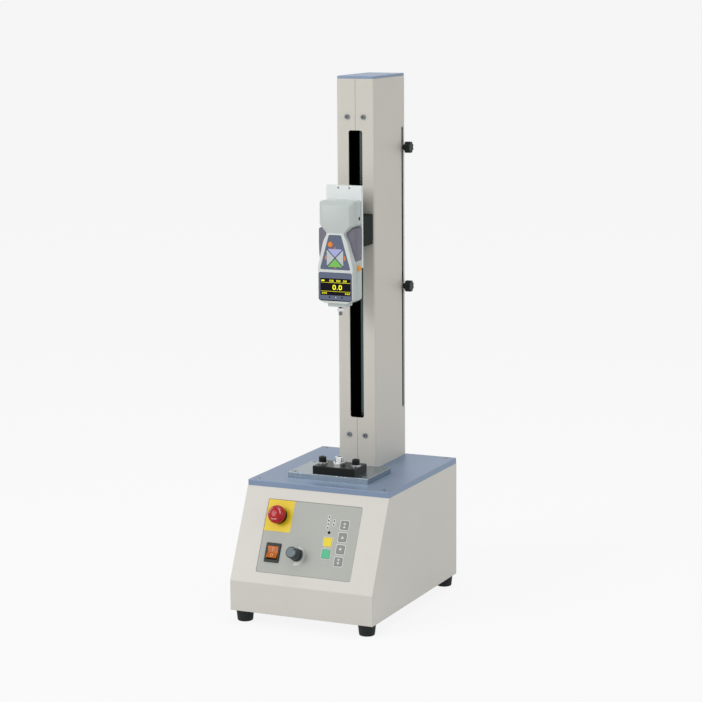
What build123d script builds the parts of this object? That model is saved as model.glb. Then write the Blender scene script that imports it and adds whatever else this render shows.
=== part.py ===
from build123d import *

import os
from math import atan2, cos, degrees, hypot, radians, sin

os.makedirs("parts", exist_ok=True)

# Motorized test stand with a digital force gauge, in millimetres.
# X is right, Y is back and Z is up. The floor under the feet is Z = 0, and the Z axis
# stands at the middle of the base housing's width and depth.

# Base housing, with a sloping control front
stand_width = 240.0
stand_depth = 336.0
foot_height = 18.5
housing_height = 184.0
front_wall_height = 47.0
slope_run = 65.0
housing_sheet = 1.6
break_line_radius = 4.0
top_flange = 14.0
corner_block_size = 24.0
corner_block_height = 10.0

# Base plate and the small socket screws in it
plate_thickness = 9.0
plate_corner_radius = 1.5
plate_edge_chamfer = 0.6
plate_screw_side_inset = 13.5
plate_screw_front_inset = 13.6
plate_screw_rear_inset = 9.1
small_screw_diameter = 5.0
small_screw_head_diameter = 8.5
small_screw_head_height = 5.0
small_screw_length = 13.0
small_screw_socket = 4.0
counterbore_diameter = 9.5
counterbore_depth = 5.4

# Column
column_width = 64.0
column_depth = 120.0
column_height = 614.5
column_rear_gap = 3.0
cover_sheet = 1.6
cover_bend_radius = 3.0
cover_seam = 0.6
slot_width = 23.4
slot_margin = 80.0
slot_corner_radius = 3.5
side_slot_width = 6.6
side_slot_from_rear = 10.0
cap_thickness = 4.2
cap_inset = 0.5
pan_screw_diameter = 4.0
pan_head_diameter = 7.6
pan_head_height = 2.4
pan_screw_length = 10.0
cover_screw_spacing = 27.4
upper_cover_screw_drop = 59.0
lower_cover_screw_rise = 52.0

# Frame, guide and screw inside the column
frame_width = 44.0
frame_depth = 28.0
frame_web = 6.0
frame_flange = 5.0
frame_from_rear = 19.0
frame_end_thickness = 10.0
frame_end_reach = 18.0
rail_width = 15.0
rail_height = 15.0
rail_end_margin = 74.0
rail_hole_pitch = 60.0
rail_hole_diameter = 4.5
screw_diameter = 14.0
screw_from_cover = 25.0
screw_journal_diameter = 12.0
bearing_diameter = 24.0
bearing_height = 9.0
bearing_block_height = 20.0
screw_overrun = 12.0

# Carriage, whose arm reaches out through the slot
carriage_z = 600.0
arm_width = 20.0
arm_height = 76.0
arm_hole_diameter = 22.0
carriage_width = 48.0
carriage_height = 84.0
carriage_front_gap = 5.4
rail_block_width = 34.0
rail_block_length = 57.0
rail_block_cover = 9.0
nut_diameter = 26.0
nut_flange_diameter = 40.0
nut_flange_height = 8.0
nut_length = 44.0
flag_thickness = 1.5
flag_height = 20.0
flag_tip_overlap = 6.0

# Gauge plate on the arm
gauge_plate_width = 60.0
gauge_plate_height = 127.5
gauge_plate_thickness = 5.5
gauge_plate_front = 0.5
gauge_plate_top_rise = 64.5
spare_hole_spacing = 18.4
spare_hole_drop = 4.0
spare_hole_diameter = 3.4

# Force gauge case: a moulded block with a waist, in a front and a rear shell
gauge_depth = 34.0
gauge_top_rise = 42.5
gauge_height = 158.5
gauge_top_width = 58.0
gauge_face_top_width = 47.0
gauge_low_width = 60.0
gauge_face_low_width = 58.6
gauge_waist_width = 37.0
gauge_face_waist_width = 31.0
gauge_bevel_depth = 7.5
gauge_top_bevel = 7.0
gauge_shoulder_drop = 37.5
gauge_waist_drop = 48.5
gauge_waist_height = 6.0
gauge_flare_end_rise = 61.0
gauge_face_flare_end_rise = 51.0
gauge_bottom_corner = 5.0
gauge_front_shell_depth = 19.5
gauge_wall = 3.5
gauge_parting = 0.3
gauge_groove = 0.8
gauge_boss_width = 31.0
gauge_boss_depth = 26.0
gauge_boss_height = 5.0
gauge_boss_setback = 4.5
grip_bulge = 2.0
grip_front_setback = 8.0
grip_round = 2.5
port_diameter = 6.0
port_drop = 28.0
port_from_rear = 6.5

# Gauge panels and keys
inlay_recess = 1.5
inlay_thickness = 1.2
display_width = 55.6
display_height = 43.4
display_rise = 5.0
display_corner_radius = 3.0
keypad_top_width = 20.0
keypad_low_width = 51.0
keypad_height = 53.0
keypad_rise = 53.5
keypad_corner_radius = 2.0
key_diamond_size = 28.6
key_diamond_rise = 71.3
key_diamond_rib = 1.1
power_key_diameter = 8.4
power_key_x = -8.0
power_key_rise = 92.0
gauge_key_proud = 0.5
gauge_key_depth = 4.2
side_button_diameter = 9.2
side_button_proud = 4.5
side_button_rise = 54.5
side_button_from_rear = 13.5

# Load cell and sensing shaft of the gauge
shaft_from_plate = 15.5
shaft_diameter = 6.0
shaft_free_length = 15.0
shaft_nut_flats = 10.0
shaft_nut_height = 5.0
shaft_nut_drop = 3.6
shaft_relief = 0.5
load_cell_width = 24.0
load_cell_depth = 18.0
load_cell_height = 40.0

# Limit sliders on the column's right side
upper_limit_z = 713.0
lower_limit_z = 490.0
limit_stud_diameter = 5.0
limit_washer_diameter = 10.0
limit_washer_height = 1.2
limit_plate_size = 13.0
limit_plate_thickness = 3.0
sensor_gap = 4.0
sensor_wall = 1.4
sensor_height = 12.0
sensor_reach = 6.0
limit_knob_diameter = 18.4
limit_knob_length = 9.7
limit_knob_gap = 6.0
limit_knob_lobes = 8

# Work table and the fixture on it
table_width = 137.0
table_depth = 88.0
table_thickness = 9.0
table_front_setback = 36.0
table_screw_inset_x = 9.2
table_screw_inset_y = 8.2
block_width = 71.5
block_depth = 47.0
block_height = 13.0
block_x = 9.8
block_front_setback = 36.0
block_chamfer = 0.8
fixture_line_from_front = 22.0
fixture_screw_spacing = 57.0
fixture_screw_diameter = 8.0
fixture_head_diameter = 12.0
fixture_head_height = 8.4
fixture_socket = 6.0
fixture_washer_diameter = 15.5
fixture_washer_height = 1.6
spring_washer_height = 1.2
spring_washer_diameter = 12.6
stud_flats = 18.0
stud_hex_height = 4.5
stud_diameter = 13.5
stud_height = 13.0
stud_thread_diameter = 6.0
stud_thread_depth = 9.0

# Control panel on the slope. Places on it are measured from its middle.
panel_width = 158.6
panel_height = 115.0
panel_rise = 75.8
panel_corner_radius = 3.0
panel_sink = 0.4
panel_flange = 6.0
panel_flange_thickness = 2.0
left_controls_x = -56.8
lower_controls_y = -26.0
e_stop_y = 32.1
e_stop_hole = 22.4
e_stop_barrel = 22.0
e_stop_collar_diameter = 26.0
e_stop_collar_height = 2.8
e_stop_barrel_length = 20.0
e_stop_block_size = 30.0
e_stop_block_length = 34.0
e_stop_stem_diameter = 12.0
e_stop_spigot_diameter = 8.0
e_stop_travel = 4.0
e_stop_head_diameter = 28.4
e_stop_head_clear = 4.6
e_stop_skirt_height = 3.6
e_stop_dome_height = 9.4
switch_width = 24.6
switch_height = 30.2
switch_body_width = 21.6
switch_body_height = 27.4
switch_bezel = 2.0
switch_depth = 22.0
rocker_width = 17.6
rocker_length = 18.8
rocker_swing = 14.0
rocker_rise = 3.6
rocker_valley = 1.2
rocker_pivot_depth = 3.0
rocker_pin_diameter = 2.4
knob_x = -15.4
knob_diameter = 18.0
knob_skirt_diameter = 20.0
knob_skirt_height = 3.2
knob_height = 22.0
knob_clear = 1.6
knob_cap_height = 0.8
knob_flutes = 20
knob_pointer_angle = 45.0
pot_shaft_diameter = 6.0
pot_bushing_diameter = 9.0
pot_body_diameter = 16.0
arrow_key_x = 54.6
arrow_key_pitch = 18.93
arrow_key_top_y = 27.8
arrow_key_size = 12.8
colour_key_x = 31.7
colour_key_y = -0.6
colour_key_pitch = 18.5
colour_key_size = 13.8
key_corner_radius = 1.2
key_proud = 0.5
key_travel = 0.5
key_flange = 1.4
key_flange_thickness = 1.0
led_x = 27.1
led_top_y = 38.4
led_pitch = 5.65
led_second_x = 36.4
led_diameter = 2.0
recessed_switch_x = 31.0
recessed_switch_y = 14.2
recessed_switch_hole = 3.8
board_depth = 12.4
board_thickness = 1.6
tact_body = 6.0
tact_height = 4.0
tact_plunger = 3.4

# Drive in the base: motor, belt and pulleys
motor_y = -8.0
motor_size = 57.0
motor_length = 76.0
motor_pilot_diameter = 38.0
motor_corner_radius = 5.0
motor_shaft_diameter = 8.0
bracket_size = 92.0
bracket_thickness = 6.0
bracket_drop = 34.0
bracket_post_diameter = 12.0
bracket_post_inset = 9.0
pulley_diameter = 38.0
pulley_width = 14.0
pulley_flange = 2.5
pulley_flange_thickness = 1.2
pulley_teeth = 24
pulley_drop = 8.0
belt_width = 10.0
belt_thickness = 2.2

# Chassis tray, power supply, control board and rear connectors
tray_thickness = 2.0
tray_lip = 14.0
foot_x = 103.3
foot_front_inset = 17.0
foot_rear_inset = 12.2
foot_top_diameter = 28.0
foot_low_diameter = 24.0
foot_stud_diameter = 6.0
foot_stud_length = 12.0
supply_length = 100.0
supply_width = 78.0
supply_height = 38.0
supply_x = -66.0
electronics_y = 95.0
control_board_length = 110.0
control_board_width = 84.0
control_board_x = 66.0
standoff_height = 8.0
standoff_diameter = 7.0
connector_z = 52.0
inlet_x = -66.0
inlet_width = 27.4
inlet_height = 19.8
inlet_flange = 2.6
inlet_depth = 24.0
inlet_proud = 2.4
signal_x = 62.0
signal_width = 38.4
signal_height = 8.2
signal_proud = 5.4
signal_flange_width = 53.0
signal_flange_height = 12.4
vent_count = 7
vent_pitch = 9.0
vent_length = 60.0
vent_height = 3.2

# Clearances: gap between fixed pieces, a running fit on the radius, and a sliding gap
gap = 0.3
fit = 0.1
slide_gap = 0.4
screw_clear = 0.2

# Levels and planes worked out from the sizes above
housing_z = foot_height
housing_top = housing_z + housing_height
break_z = housing_z + front_wall_height
front_y = -stand_depth / 2
rear_y = stand_depth / 2
plate_front_y = front_y + slope_run
plate_depth = rear_y - plate_front_y
plate_y = (plate_front_y + rear_y) / 2
plate_top = housing_top + plate_thickness
column_rear_y = rear_y - column_rear_gap
column_front_y = column_rear_y - column_depth
column_top = plate_top + column_height
inner_front_y = column_front_y + cover_sheet
inner_rear_y = column_rear_y - cover_sheet
inner_half_width = column_width / 2 - cover_sheet
slot_low = plate_top + slot_margin
slot_high = column_top - slot_margin
slot_z = (slot_low + slot_high) / 2
side_slot_y = column_rear_y - side_slot_from_rear
frame_rear_y = column_rear_y - frame_from_rear
frame_front_y = frame_rear_y - frame_depth
screw_y = column_front_y + screw_from_cover
rail_front_y = frame_front_y - rail_height
rail_block_front_y = rail_front_y - rail_block_cover
table_top = plate_top + table_thickness
block_top = table_top + block_height
slope_angle = atan2(slope_run, housing_top - break_z)
slope_length = hypot(slope_run, housing_top - break_z)
slope_origin = (
    0,
    front_y + panel_rise * sin(slope_angle),
    break_z + panel_rise * cos(slope_angle),
)
slope = Plane(
    origin=slope_origin,
    x_dir=(1, 0, 0),
    z_dir=(0, -cos(slope_angle), sin(slope_angle)),
)
panel_normal = Axis(slope_origin, slope.z_dir)
panel_front = -panel_sink
panel_back = -housing_sheet - panel_flange_thickness
slot_front_plane = Plane.XZ.offset(-column_front_y)
gauge_rear_y = gauge_plate_front
gauge_face_y = gauge_rear_y - gauge_depth
gauge_split_y = gauge_face_y + gauge_front_shell_depth
gauge_top = carriage_z + gauge_top_rise
gauge_low = gauge_top - gauge_height
gauge_shaft_y = gauge_rear_y - shaft_from_plate
upper_cover_screw_z = column_top - upper_cover_screw_drop
lower_cover_screw_z = plate_top + lower_cover_screw_rise


def front_view(y):
    """A plane at depth y that faces the front, with its x to the right and its y up."""
    return Plane.XZ.offset(-y)


def side_view(x):
    """A plane at width x that faces right, with its x to the back and its y up."""
    return Plane.YZ.offset(x)


# Base housing: a folded hood with a sloping front, open below and flanged on top
with BuildPart() as base_housing:
    with BuildSketch(Plane.YZ) as hood_profile:
        with BuildLine():
            Polyline(
                (front_y, housing_z),
                (front_y, break_z),
                (plate_front_y, housing_top),
                (rear_y, housing_top),
                (rear_y, housing_z),
                close=True,
            )
        make_face()
        fillet(hood_profile.vertices().group_by(Axis.X)[0].sort_by(Axis.Y)[-1], break_line_radius)
    extrude(amount=stand_width / 2, both=True)
    with BuildSketch(Plane.YZ):
        offset(hood_profile.sketch_local, amount=-housing_sheet)
        with Locations((0, housing_z + housing_sheet)):
            Rectangle(
                stand_depth - 2 * housing_sheet,
                2 * housing_sheet,
                align=(Align.CENTER, Align.MAX),
            )
    extrude(amount=stand_width / 2 - housing_sheet, both=True, mode=Mode.SUBTRACT)
    with BuildSketch(Plane.XY.offset(housing_top)):
        with Locations((0, plate_y)):
            Rectangle(stand_width - 2 * top_flange, plate_depth - 2 * top_flange)
    extrude(amount=-2 * housing_sheet, mode=Mode.SUBTRACT)
    with BuildSketch(Plane.XY.offset(housing_top - housing_sheet)) as corner_blocks:
        for side in (-1, 1):
            block_edge = side * (stand_width / 2 - housing_sheet)
            with Locations(
                (block_edge - side * corner_block_size / 2, plate_front_y + corner_block_size / 2 + 2),
                (block_edge - side * corner_block_size / 2, rear_y - housing_sheet - corner_block_size / 2),
            ):
                Rectangle(corner_block_size, corner_block_size)
    extrude(amount=-corner_block_height)
    with BuildSketch(Plane.XY.offset(housing_top)):
        for side in (-1, 1):
            with Locations(
                (side * (stand_width / 2 - plate_screw_side_inset), plate_front_y + plate_screw_front_inset),
                (side * (stand_width / 2 - plate_screw_side_inset), rear_y - plate_screw_rear_inset),
            ):
                Circle(small_screw_diameter / 2 + screw_clear)
    extrude(amount=-(housing_sheet + corner_block_height), mode=Mode.SUBTRACT)
    with BuildSketch(slope):
        RectangleRounded(panel_width + 2 * gap, panel_height + 2 * gap, panel_corner_radius)
    extrude(amount=-2 * housing_sheet, mode=Mode.SUBTRACT)
    with BuildSketch(front_view(rear_y)):
        with Locations((inlet_x, connector_z)):
            Rectangle(inlet_width + 2 * gap, inlet_height + 2 * gap)
        with Locations((signal_x, connector_z)):
            Rectangle(signal_width + 2 * gap, signal_height + 2 * gap)
        with Locations((0, housing_z + housing_height / 2 + 20)):
            with GridLocations(0, vent_pitch, 1, vent_count):
                SlotOverall(vent_length, vent_height)
    extrude(amount=2 * housing_sheet, both=True, mode=Mode.SUBTRACT)

base_housing.part.label = "base_housing"
export_step(base_housing.part, "parts/base_housing.step")

# Bottom cover: the chassis tray that closes the hood and carries the feet
tray_half_width = stand_width / 2 - housing_sheet - gap
tray_half_depth = stand_depth / 2 - housing_sheet - gap
foot_places = [
    (side * foot_x, y)
    for side in (-1, 1)
    for y in (front_y + foot_front_inset, rear_y - foot_rear_inset)
]
with BuildPart() as bottom_cover:
    with BuildSketch(Plane.XY.offset(housing_z)):
        Rectangle(2 * tray_half_width, 2 * tray_half_depth)
    extrude(amount=tray_thickness + tray_lip)
    with BuildSketch(Plane.XY.offset(housing_z + tray_thickness)):
        Rectangle(2 * (tray_half_width - housing_sheet), 2 * (tray_half_depth - housing_sheet))
    extrude(amount=tray_lip, mode=Mode.SUBTRACT)
    with BuildSketch(Plane.XY.offset(housing_z)):
        with Locations(*foot_places):
            Circle(foot_stud_diameter / 2 + screw_clear)
    extrude(amount=tray_thickness, mode=Mode.SUBTRACT)

bottom_cover.part.label = "bottom_cover"
export_step(bottom_cover.part, "parts/bottom_cover.step")

# Feet: tapered rubber feet with a bonded stud through the tray
with BuildPart() as feet:
    with BuildSketch(Plane.XY.offset(foot_height)):
        with Locations(*foot_places):
            Circle(foot_top_diameter / 2)
    extrude(
        amount=-foot_height,
        taper=degrees(atan2((foot_top_diameter - foot_low_diameter) / 2, foot_height)),
    )
    fillet(feet.edges().group_by(Axis.Z)[0], 2.0)
    with BuildSketch(Plane.XY.offset(foot_height)):
        with Locations(*foot_places):
            Circle(foot_stud_diameter / 2)
    extrude(amount=foot_stud_length)

feet.part.label = "feet"
export_step(feet.part, "parts/feet.step")

# Base plate: a thick painted plate with counterbored corner screws
corner_screws = [
    (side * (stand_width / 2 - plate_screw_side_inset), y)
    for side in (-1, 1)
    for y in (plate_front_y + plate_screw_front_inset, rear_y - plate_screw_rear_inset)
]
table_y = plate_front_y + table_front_setback + table_depth / 2
table_screws = [
    (side * (table_width / 2 - table_screw_inset_x), table_y + end * (table_depth / 2 - table_screw_inset_y))
    for side in (-1, 1)
    for end in (-1, 1)
]
frame_foot_y = (frame_front_y - frame_end_reach + inner_rear_y) / 2
frame_foot_depth = inner_rear_y - frame_front_y + frame_end_reach
frame_bolt_spacing = 38.0
with BuildPart() as base_plate:
    with BuildSketch(Plane.XY.offset(housing_top)):
        with Locations((0, plate_y)):
            RectangleRounded(stand_width, plate_depth, plate_corner_radius)
    extrude(amount=plate_thickness)
    chamfer(base_plate.faces().sort_by(Axis.Z)[-1].edges(), plate_edge_chamfer)
    with BuildSketch(Plane.XY.offset(plate_top)):
        with Locations(*corner_screws):
            Circle(counterbore_diameter / 2)
    extrude(amount=-counterbore_depth, mode=Mode.SUBTRACT)
    with BuildSketch(Plane.XY.offset(plate_top)):
        with Locations(*corner_screws):
            Circle(small_screw_diameter / 2 + screw_clear)
        with Locations(*table_screws):
            Circle(small_screw_diameter / 2 + fit)
        with Locations((0, screw_y)):
            Circle(screw_journal_diameter / 2 + 5)
        with Locations((0, frame_foot_y)):
            with GridLocations(frame_bolt_spacing, frame_bolt_spacing, 2, 2):
                Circle(pan_screw_diameter)
    extrude(amount=-plate_thickness, mode=Mode.SUBTRACT)

base_plate.part.label = "base_plate"
export_step(base_plate.part, "parts/base_plate.step")

# Plate screws: eight equal socket screws, four in the base plate and four in the table
table_screw_top = table_top - counterbore_depth + small_screw_head_height
plate_screw_top = plate_top - counterbore_depth + small_screw_head_height
with BuildPart() as plate_screws:
    for places, top in ((corner_screws, plate_screw_top), (table_screws, table_screw_top)):
        with BuildSketch(Plane.XY.offset(top)):
            with Locations(*places):
                Circle(small_screw_head_diameter / 2)
        extrude(amount=-small_screw_head_height)
        with BuildSketch(Plane.XY.offset(top - small_screw_head_height)):
            with Locations(*places):
                Circle(small_screw_diameter / 2)
        extrude(amount=-small_screw_length + small_screw_head_height / 2)
        with BuildSketch(Plane.XY.offset(top)):
            with Locations(*places):
                RegularPolygon(small_screw_socket / 2, 6, major_radius=False)
        extrude(amount=-small_screw_head_height / 2, mode=Mode.SUBTRACT)

plate_screws.part.label = "plate_screws"
export_step(plate_screws.part, "parts/plate_screws.step")

# Work table: a ground steel plate screwed to the base plate
fixture_y = plate_front_y + block_front_setback + fixture_line_from_front
fixture_holes = [(block_x + side * fixture_screw_spacing / 2, fixture_y) for side in (-1, 1)]
with BuildPart() as work_table:
    with BuildSketch(Plane.XY.offset(plate_top)):
        with Locations((0, table_y)):
            Rectangle(table_width, table_depth)
    extrude(amount=table_thickness)
    chamfer(work_table.edges().filter_by(Axis.Z), 0.8)
    chamfer(work_table.faces().sort_by(Axis.Z)[-1].edges(), 0.5)
    with BuildSketch(Plane.XY.offset(table_top)):
        with Locations(*table_screws):
            Circle(counterbore_diameter / 2)
    extrude(amount=-counterbore_depth, mode=Mode.SUBTRACT)
    with BuildSketch(Plane.XY.offset(table_top)):
        with Locations(*table_screws):
            Circle(small_screw_diameter / 2 + screw_clear)
        with Locations(*fixture_holes, (block_x, fixture_y)):
            Circle(fixture_screw_diameter / 2 + fit)
    extrude(amount=-table_thickness, mode=Mode.SUBTRACT)

work_table.part.label = "work_table"
export_step(work_table.part, "parts/work_table.step")

# Fixture block: a black block held by two cap screws, with a threaded post in its middle
with BuildPart() as fixture_block:
    with BuildSketch(Plane.XY.offset(table_top)):
        with Locations((block_x, plate_front_y + block_front_setback + block_depth / 2)):
            Rectangle(block_width, block_depth)
    extrude(amount=block_height)
    chamfer(fixture_block.edges().filter_by(Axis.Z), block_chamfer)
    chamfer(fixture_block.faces().sort_by(Axis.Z)[-1].edges(), block_chamfer)
    with BuildSketch(Plane.XY.offset(block_top)):
        with Locations(*fixture_holes, (block_x, fixture_y)):
            Circle(fixture_screw_diameter / 2 + screw_clear)
    extrude(amount=-block_height, mode=Mode.SUBTRACT)

fixture_block.part.label = "fixture_block"
export_step(fixture_block.part, "parts/fixture_block.step")

# Fixture screws: two socket cap screws, each on a flat washer and a spring washer
head_seat = block_top + fixture_washer_height + spring_washer_height
with BuildPart() as fixture_screws:
    with BuildSketch(Plane.XY.offset(head_seat)):
        with Locations(*fixture_holes):
            Circle(fixture_head_diameter / 2)
    extrude(amount=fixture_head_height)
    chamfer(fixture_screws.edges().group_by(Axis.Z)[-1], 0.8)
    with BuildSketch(Plane.XY.offset(head_seat + fixture_head_height)):
        with Locations(*fixture_holes):
            RegularPolygon(fixture_socket / 2, 6, major_radius=False)
    extrude(amount=-fixture_head_height / 2, mode=Mode.SUBTRACT)
    with BuildSketch(Plane.XY.offset(head_seat)):
        with Locations(*fixture_holes):
            Circle(fixture_screw_diameter / 2)
    extrude(amount=-(head_seat - table_top + table_thickness - 1))

with BuildPart() as fixture_washers:
    with BuildSketch(Plane.XY.offset(block_top)):
        with Locations(*fixture_holes):
            Circle(fixture_washer_diameter / 2)
        with Locations(*fixture_holes):
            Circle(fixture_screw_diameter / 2 + screw_clear, mode=Mode.SUBTRACT)
    extrude(amount=fixture_washer_height)
    with BuildSketch(Plane.XY.offset(block_top + fixture_washer_height)):
        with Locations(*fixture_holes):
            Circle(spring_washer_diameter / 2)
        with Locations(*fixture_holes):
            Circle(fixture_screw_diameter / 2 + screw_clear, mode=Mode.SUBTRACT)
    extrude(amount=spring_washer_height)

fixture_fasteners = Compound(children=[*fixture_screws.part.solids(), *fixture_washers.part.solids()])
fixture_fasteners.label = "fixture_screws"
export_step(fixture_fasteners, "parts/fixture_screws.step")

# Fixture post: a bright hexagon and post, threaded on top for a grip or anvil
with BuildPart() as fixture_post:
    with BuildSketch(Plane.XY.offset(block_top)):
        with Locations((block_x, fixture_y)):
            RegularPolygon(stud_flats / 2, 6, major_radius=False)
    extrude(amount=stud_hex_height)
    with BuildSketch(Plane.XY.offset(block_top + stud_hex_height)):
        with Locations((block_x, fixture_y)):
            Circle(stud_diameter / 2)
    extrude(amount=stud_height - stud_hex_height)
    chamfer(fixture_post.edges().group_by(Axis.Z)[-1], 0.6)
    with BuildSketch(Plane.XY.offset(block_top)):
        with Locations((block_x, fixture_y)):
            Circle(fixture_screw_diameter / 2)
    extrude(amount=-(block_height + table_thickness - 1))
    with BuildSketch(Plane.XY.offset(block_top + stud_height)):
        with Locations((block_x, fixture_y)):
            Circle(stud_thread_diameter / 2)
    extrude(amount=-stud_thread_depth, mode=Mode.SUBTRACT)

fixture_post.part.label = "fixture_post"
export_step(fixture_post.part, "parts/fixture_post.step")

# Column frame: a channel open to the rear, with a foot plate and a head plate
with BuildPart() as column_frame:
    with BuildSketch(Plane.XY.offset(plate_top)):
        with Locations((0, frame_front_y + frame_depth / 2)):
            Rectangle(frame_width, frame_depth)
        with Locations((0, frame_front_y + frame_web)):
            Rectangle(
                frame_width - 2 * frame_flange,
                frame_depth,
                align=(Align.CENTER, Align.MIN),
                mode=Mode.SUBTRACT,
            )
    extrude(amount=column_height)
    with BuildSketch(Plane.XY.offset(plate_top)):
        with Locations((0, frame_foot_y)):
            Rectangle(2 * (inner_half_width - gap), frame_foot_depth)
    extrude(amount=frame_end_thickness)
    with BuildSketch(Plane.XY.offset(column_top)):
        with Locations((0, frame_foot_y)):
            Rectangle(2 * (inner_half_width - gap), frame_foot_depth)
    extrude(amount=-frame_end_thickness)
    with BuildSketch(front_view(inner_rear_y)):
        for level in (plate_top + frame_end_thickness / 2, column_top - frame_end_thickness / 2):
            with Locations((0, level)):
                with GridLocations(cover_screw_spacing, 0, 2, 1):
                    Circle(pan_screw_diameter / 2 + fit)
    extrude(amount=pan_screw_length, mode=Mode.SUBTRACT)
    with BuildSketch(Plane.XY.offset(column_top)):
        with Locations((0, frame_foot_y)):
            with GridLocations(frame_bolt_spacing, frame_bolt_spacing, 2, 2):
                Circle(pan_screw_diameter / 2 + fit)
    extrude(amount=-frame_end_thickness, mode=Mode.SUBTRACT)
    chamfer(column_frame.edges().filter_by(Axis.Z).group_by(Axis.Y)[-1], cover_bend_radius / 2)

column_frame.part.label = "column_frame"
export_step(column_frame.part, "parts/column_frame.step")

# Column covers: two folded halves that meet on the seam and leave the slot between them
rear_screw_levels = (plate_top + frame_end_thickness / 2, column_top - frame_end_thickness / 2)
for side, name in ((-1, "column_cover_left"), (1, "column_cover_right")):
    with BuildPart() as column_cover:
        with BuildSketch(Plane.XY.offset(plate_top)):
            with Locations((0, column_front_y + column_depth / 2)):
                RectangleRounded(column_width, column_depth, cover_bend_radius)
                RectangleRounded(
                    column_width - 2 * cover_sheet,
                    column_depth - 2 * cover_sheet,
                    cover_bend_radius - cover_sheet,
                    mode=Mode.SUBTRACT,
                )
            with Locations((side * cover_seam / 2, 0)):
                Rectangle(
                    column_width,
                    4 * column_depth,
                    align=(Align.MAX if side > 0 else Align.MIN, Align.CENTER),
                    mode=Mode.SUBTRACT,
                )
        extrude(amount=column_height)
        with BuildSketch(front_view(column_front_y)):
            with Locations((0, slot_z)):
                RectangleRounded(slot_width, slot_high - slot_low, slot_corner_radius)
            for level in (upper_cover_screw_z, lower_cover_screw_z):
                with Locations((side * cover_screw_spacing / 2, level)):
                    Circle(pan_screw_diameter / 2 + screw_clear)
        extrude(amount=2 * cover_sheet, both=True, mode=Mode.SUBTRACT)
        with BuildSketch(front_view(column_rear_y)):
            for level in rear_screw_levels:
                with Locations((side * cover_screw_spacing / 2, level)):
                    Circle(pan_screw_diameter / 2 + screw_clear)
        extrude(amount=2 * cover_sheet, both=True, mode=Mode.SUBTRACT)
        if side > 0:
            with BuildSketch(side_view(column_width / 2)):
                with Locations((side_slot_y, slot_z)):
                    SlotOverall(slot_high - slot_low, side_slot_width, rotation=90)
            extrude(amount=-2 * cover_sheet, mode=Mode.SUBTRACT)
    column_cover.part.label = name
    export_step(column_cover.part, f"parts/{name}.step")

# Column cap: a flat plate on top
with BuildPart() as column_cap:
    with BuildSketch(Plane.XY.offset(column_top)):
        with Locations((0, column_front_y + column_depth / 2)):
            RectangleRounded(
                column_width - 2 * cap_inset,
                column_depth - 2 * cap_inset,
                cover_bend_radius - cap_inset,
            )
    extrude(amount=cap_thickness)
    chamfer(column_cap.faces().sort_by(Axis.Z)[-1].edges(), 0.4)
    with BuildSketch(Plane.XY.offset(column_top)):
        with Locations((0, frame_foot_y)):
            with GridLocations(frame_bolt_spacing, frame_bolt_spacing, 2, 2):
                Circle(pan_screw_diameter / 2 + screw_clear)
    extrude(amount=cap_thickness, mode=Mode.SUBTRACT)
    with BuildSketch(Plane.XY.offset(column_top + cap_thickness)):
        with Locations((0, frame_foot_y)):
            with GridLocations(frame_bolt_spacing, frame_bolt_spacing, 2, 2):
                Circle(pan_head_diameter / 2 + screw_clear)
    extrude(amount=-pan_head_height, mode=Mode.SUBTRACT)

column_cap.part.label = "column_cap"
export_step(column_cap.part, "parts/column_cap.step")

# Column screws: equal pan-head screws in the covers' front, their rear and the cap
front_screw_places = [
    (x, level)
    for x in (-cover_screw_spacing / 2, cover_screw_spacing / 2)
    for level in (upper_cover_screw_z, lower_cover_screw_z)
]
rear_screw_places = [
    (x, level) for x in (-cover_screw_spacing / 2, cover_screw_spacing / 2) for level in rear_screw_levels
]
with BuildPart() as column_screws:
    for plane, places in (
        (front_view(column_front_y), front_screw_places),
        (Plane(front_view(column_rear_y).origin, x_dir=(1, 0, 0), z_dir=(0, 1, 0)), rear_screw_places),
    ):
        mirrored = -1 if plane.z_dir.Y > 0 else 1
        with BuildSketch(plane):
            with Locations(*[(x, mirrored * z) for x, z in places]):
                Circle(pan_head_diameter / 2)
        extrude(amount=pan_head_height)
        with BuildSketch(plane):
            with Locations(*[(x, mirrored * z) for x, z in places]):
                Circle(pan_screw_diameter / 2)
        extrude(amount=-pan_screw_length)
    with BuildSketch(Plane.XY.offset(column_top + cap_thickness)):
        with Locations((0, frame_foot_y)):
            with GridLocations(frame_bolt_spacing, frame_bolt_spacing, 2, 2):
                Circle(pan_head_diameter / 2)
    extrude(amount=-pan_head_height)
    with BuildSketch(Plane.XY.offset(column_top + cap_thickness - pan_head_height)):
        with Locations((0, frame_foot_y)):
            with GridLocations(frame_bolt_spacing, frame_bolt_spacing, 2, 2):
                Circle(pan_screw_diameter / 2)
    extrude(amount=-pan_screw_length)

column_screws.part.label = "column_screws"
export_step(column_screws.part, "parts/column_screws.step")

# Guide rail on the front of the frame
rail_low = plate_top + rail_end_margin
rail_high = column_top - rail_end_margin
with BuildPart() as guide_rail:
    with BuildSketch(Plane.XY.offset(rail_low)):
        with Locations((0, frame_front_y - rail_height / 2)):
            Rectangle(rail_width, rail_height)
        with Locations(
            (-rail_width / 2, rail_front_y + rail_height / 3), (rail_width / 2, rail_front_y + rail_height / 3)
        ):
            Circle(1.6, mode=Mode.SUBTRACT)
    extrude(amount=rail_high - rail_low)
    with BuildSketch(front_view(rail_front_y)):
        with Locations((0, (rail_low + rail_high) / 2)):
            with GridLocations(0, rail_hole_pitch, 1, int((rail_high - rail_low) / rail_hole_pitch)):
                Circle(rail_hole_diameter / 2)
    extrude(amount=-rail_height, mode=Mode.SUBTRACT)

guide_rail.part.label = "guide_rail"
export_step(guide_rail.part, "parts/guide_rail.step")

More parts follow.
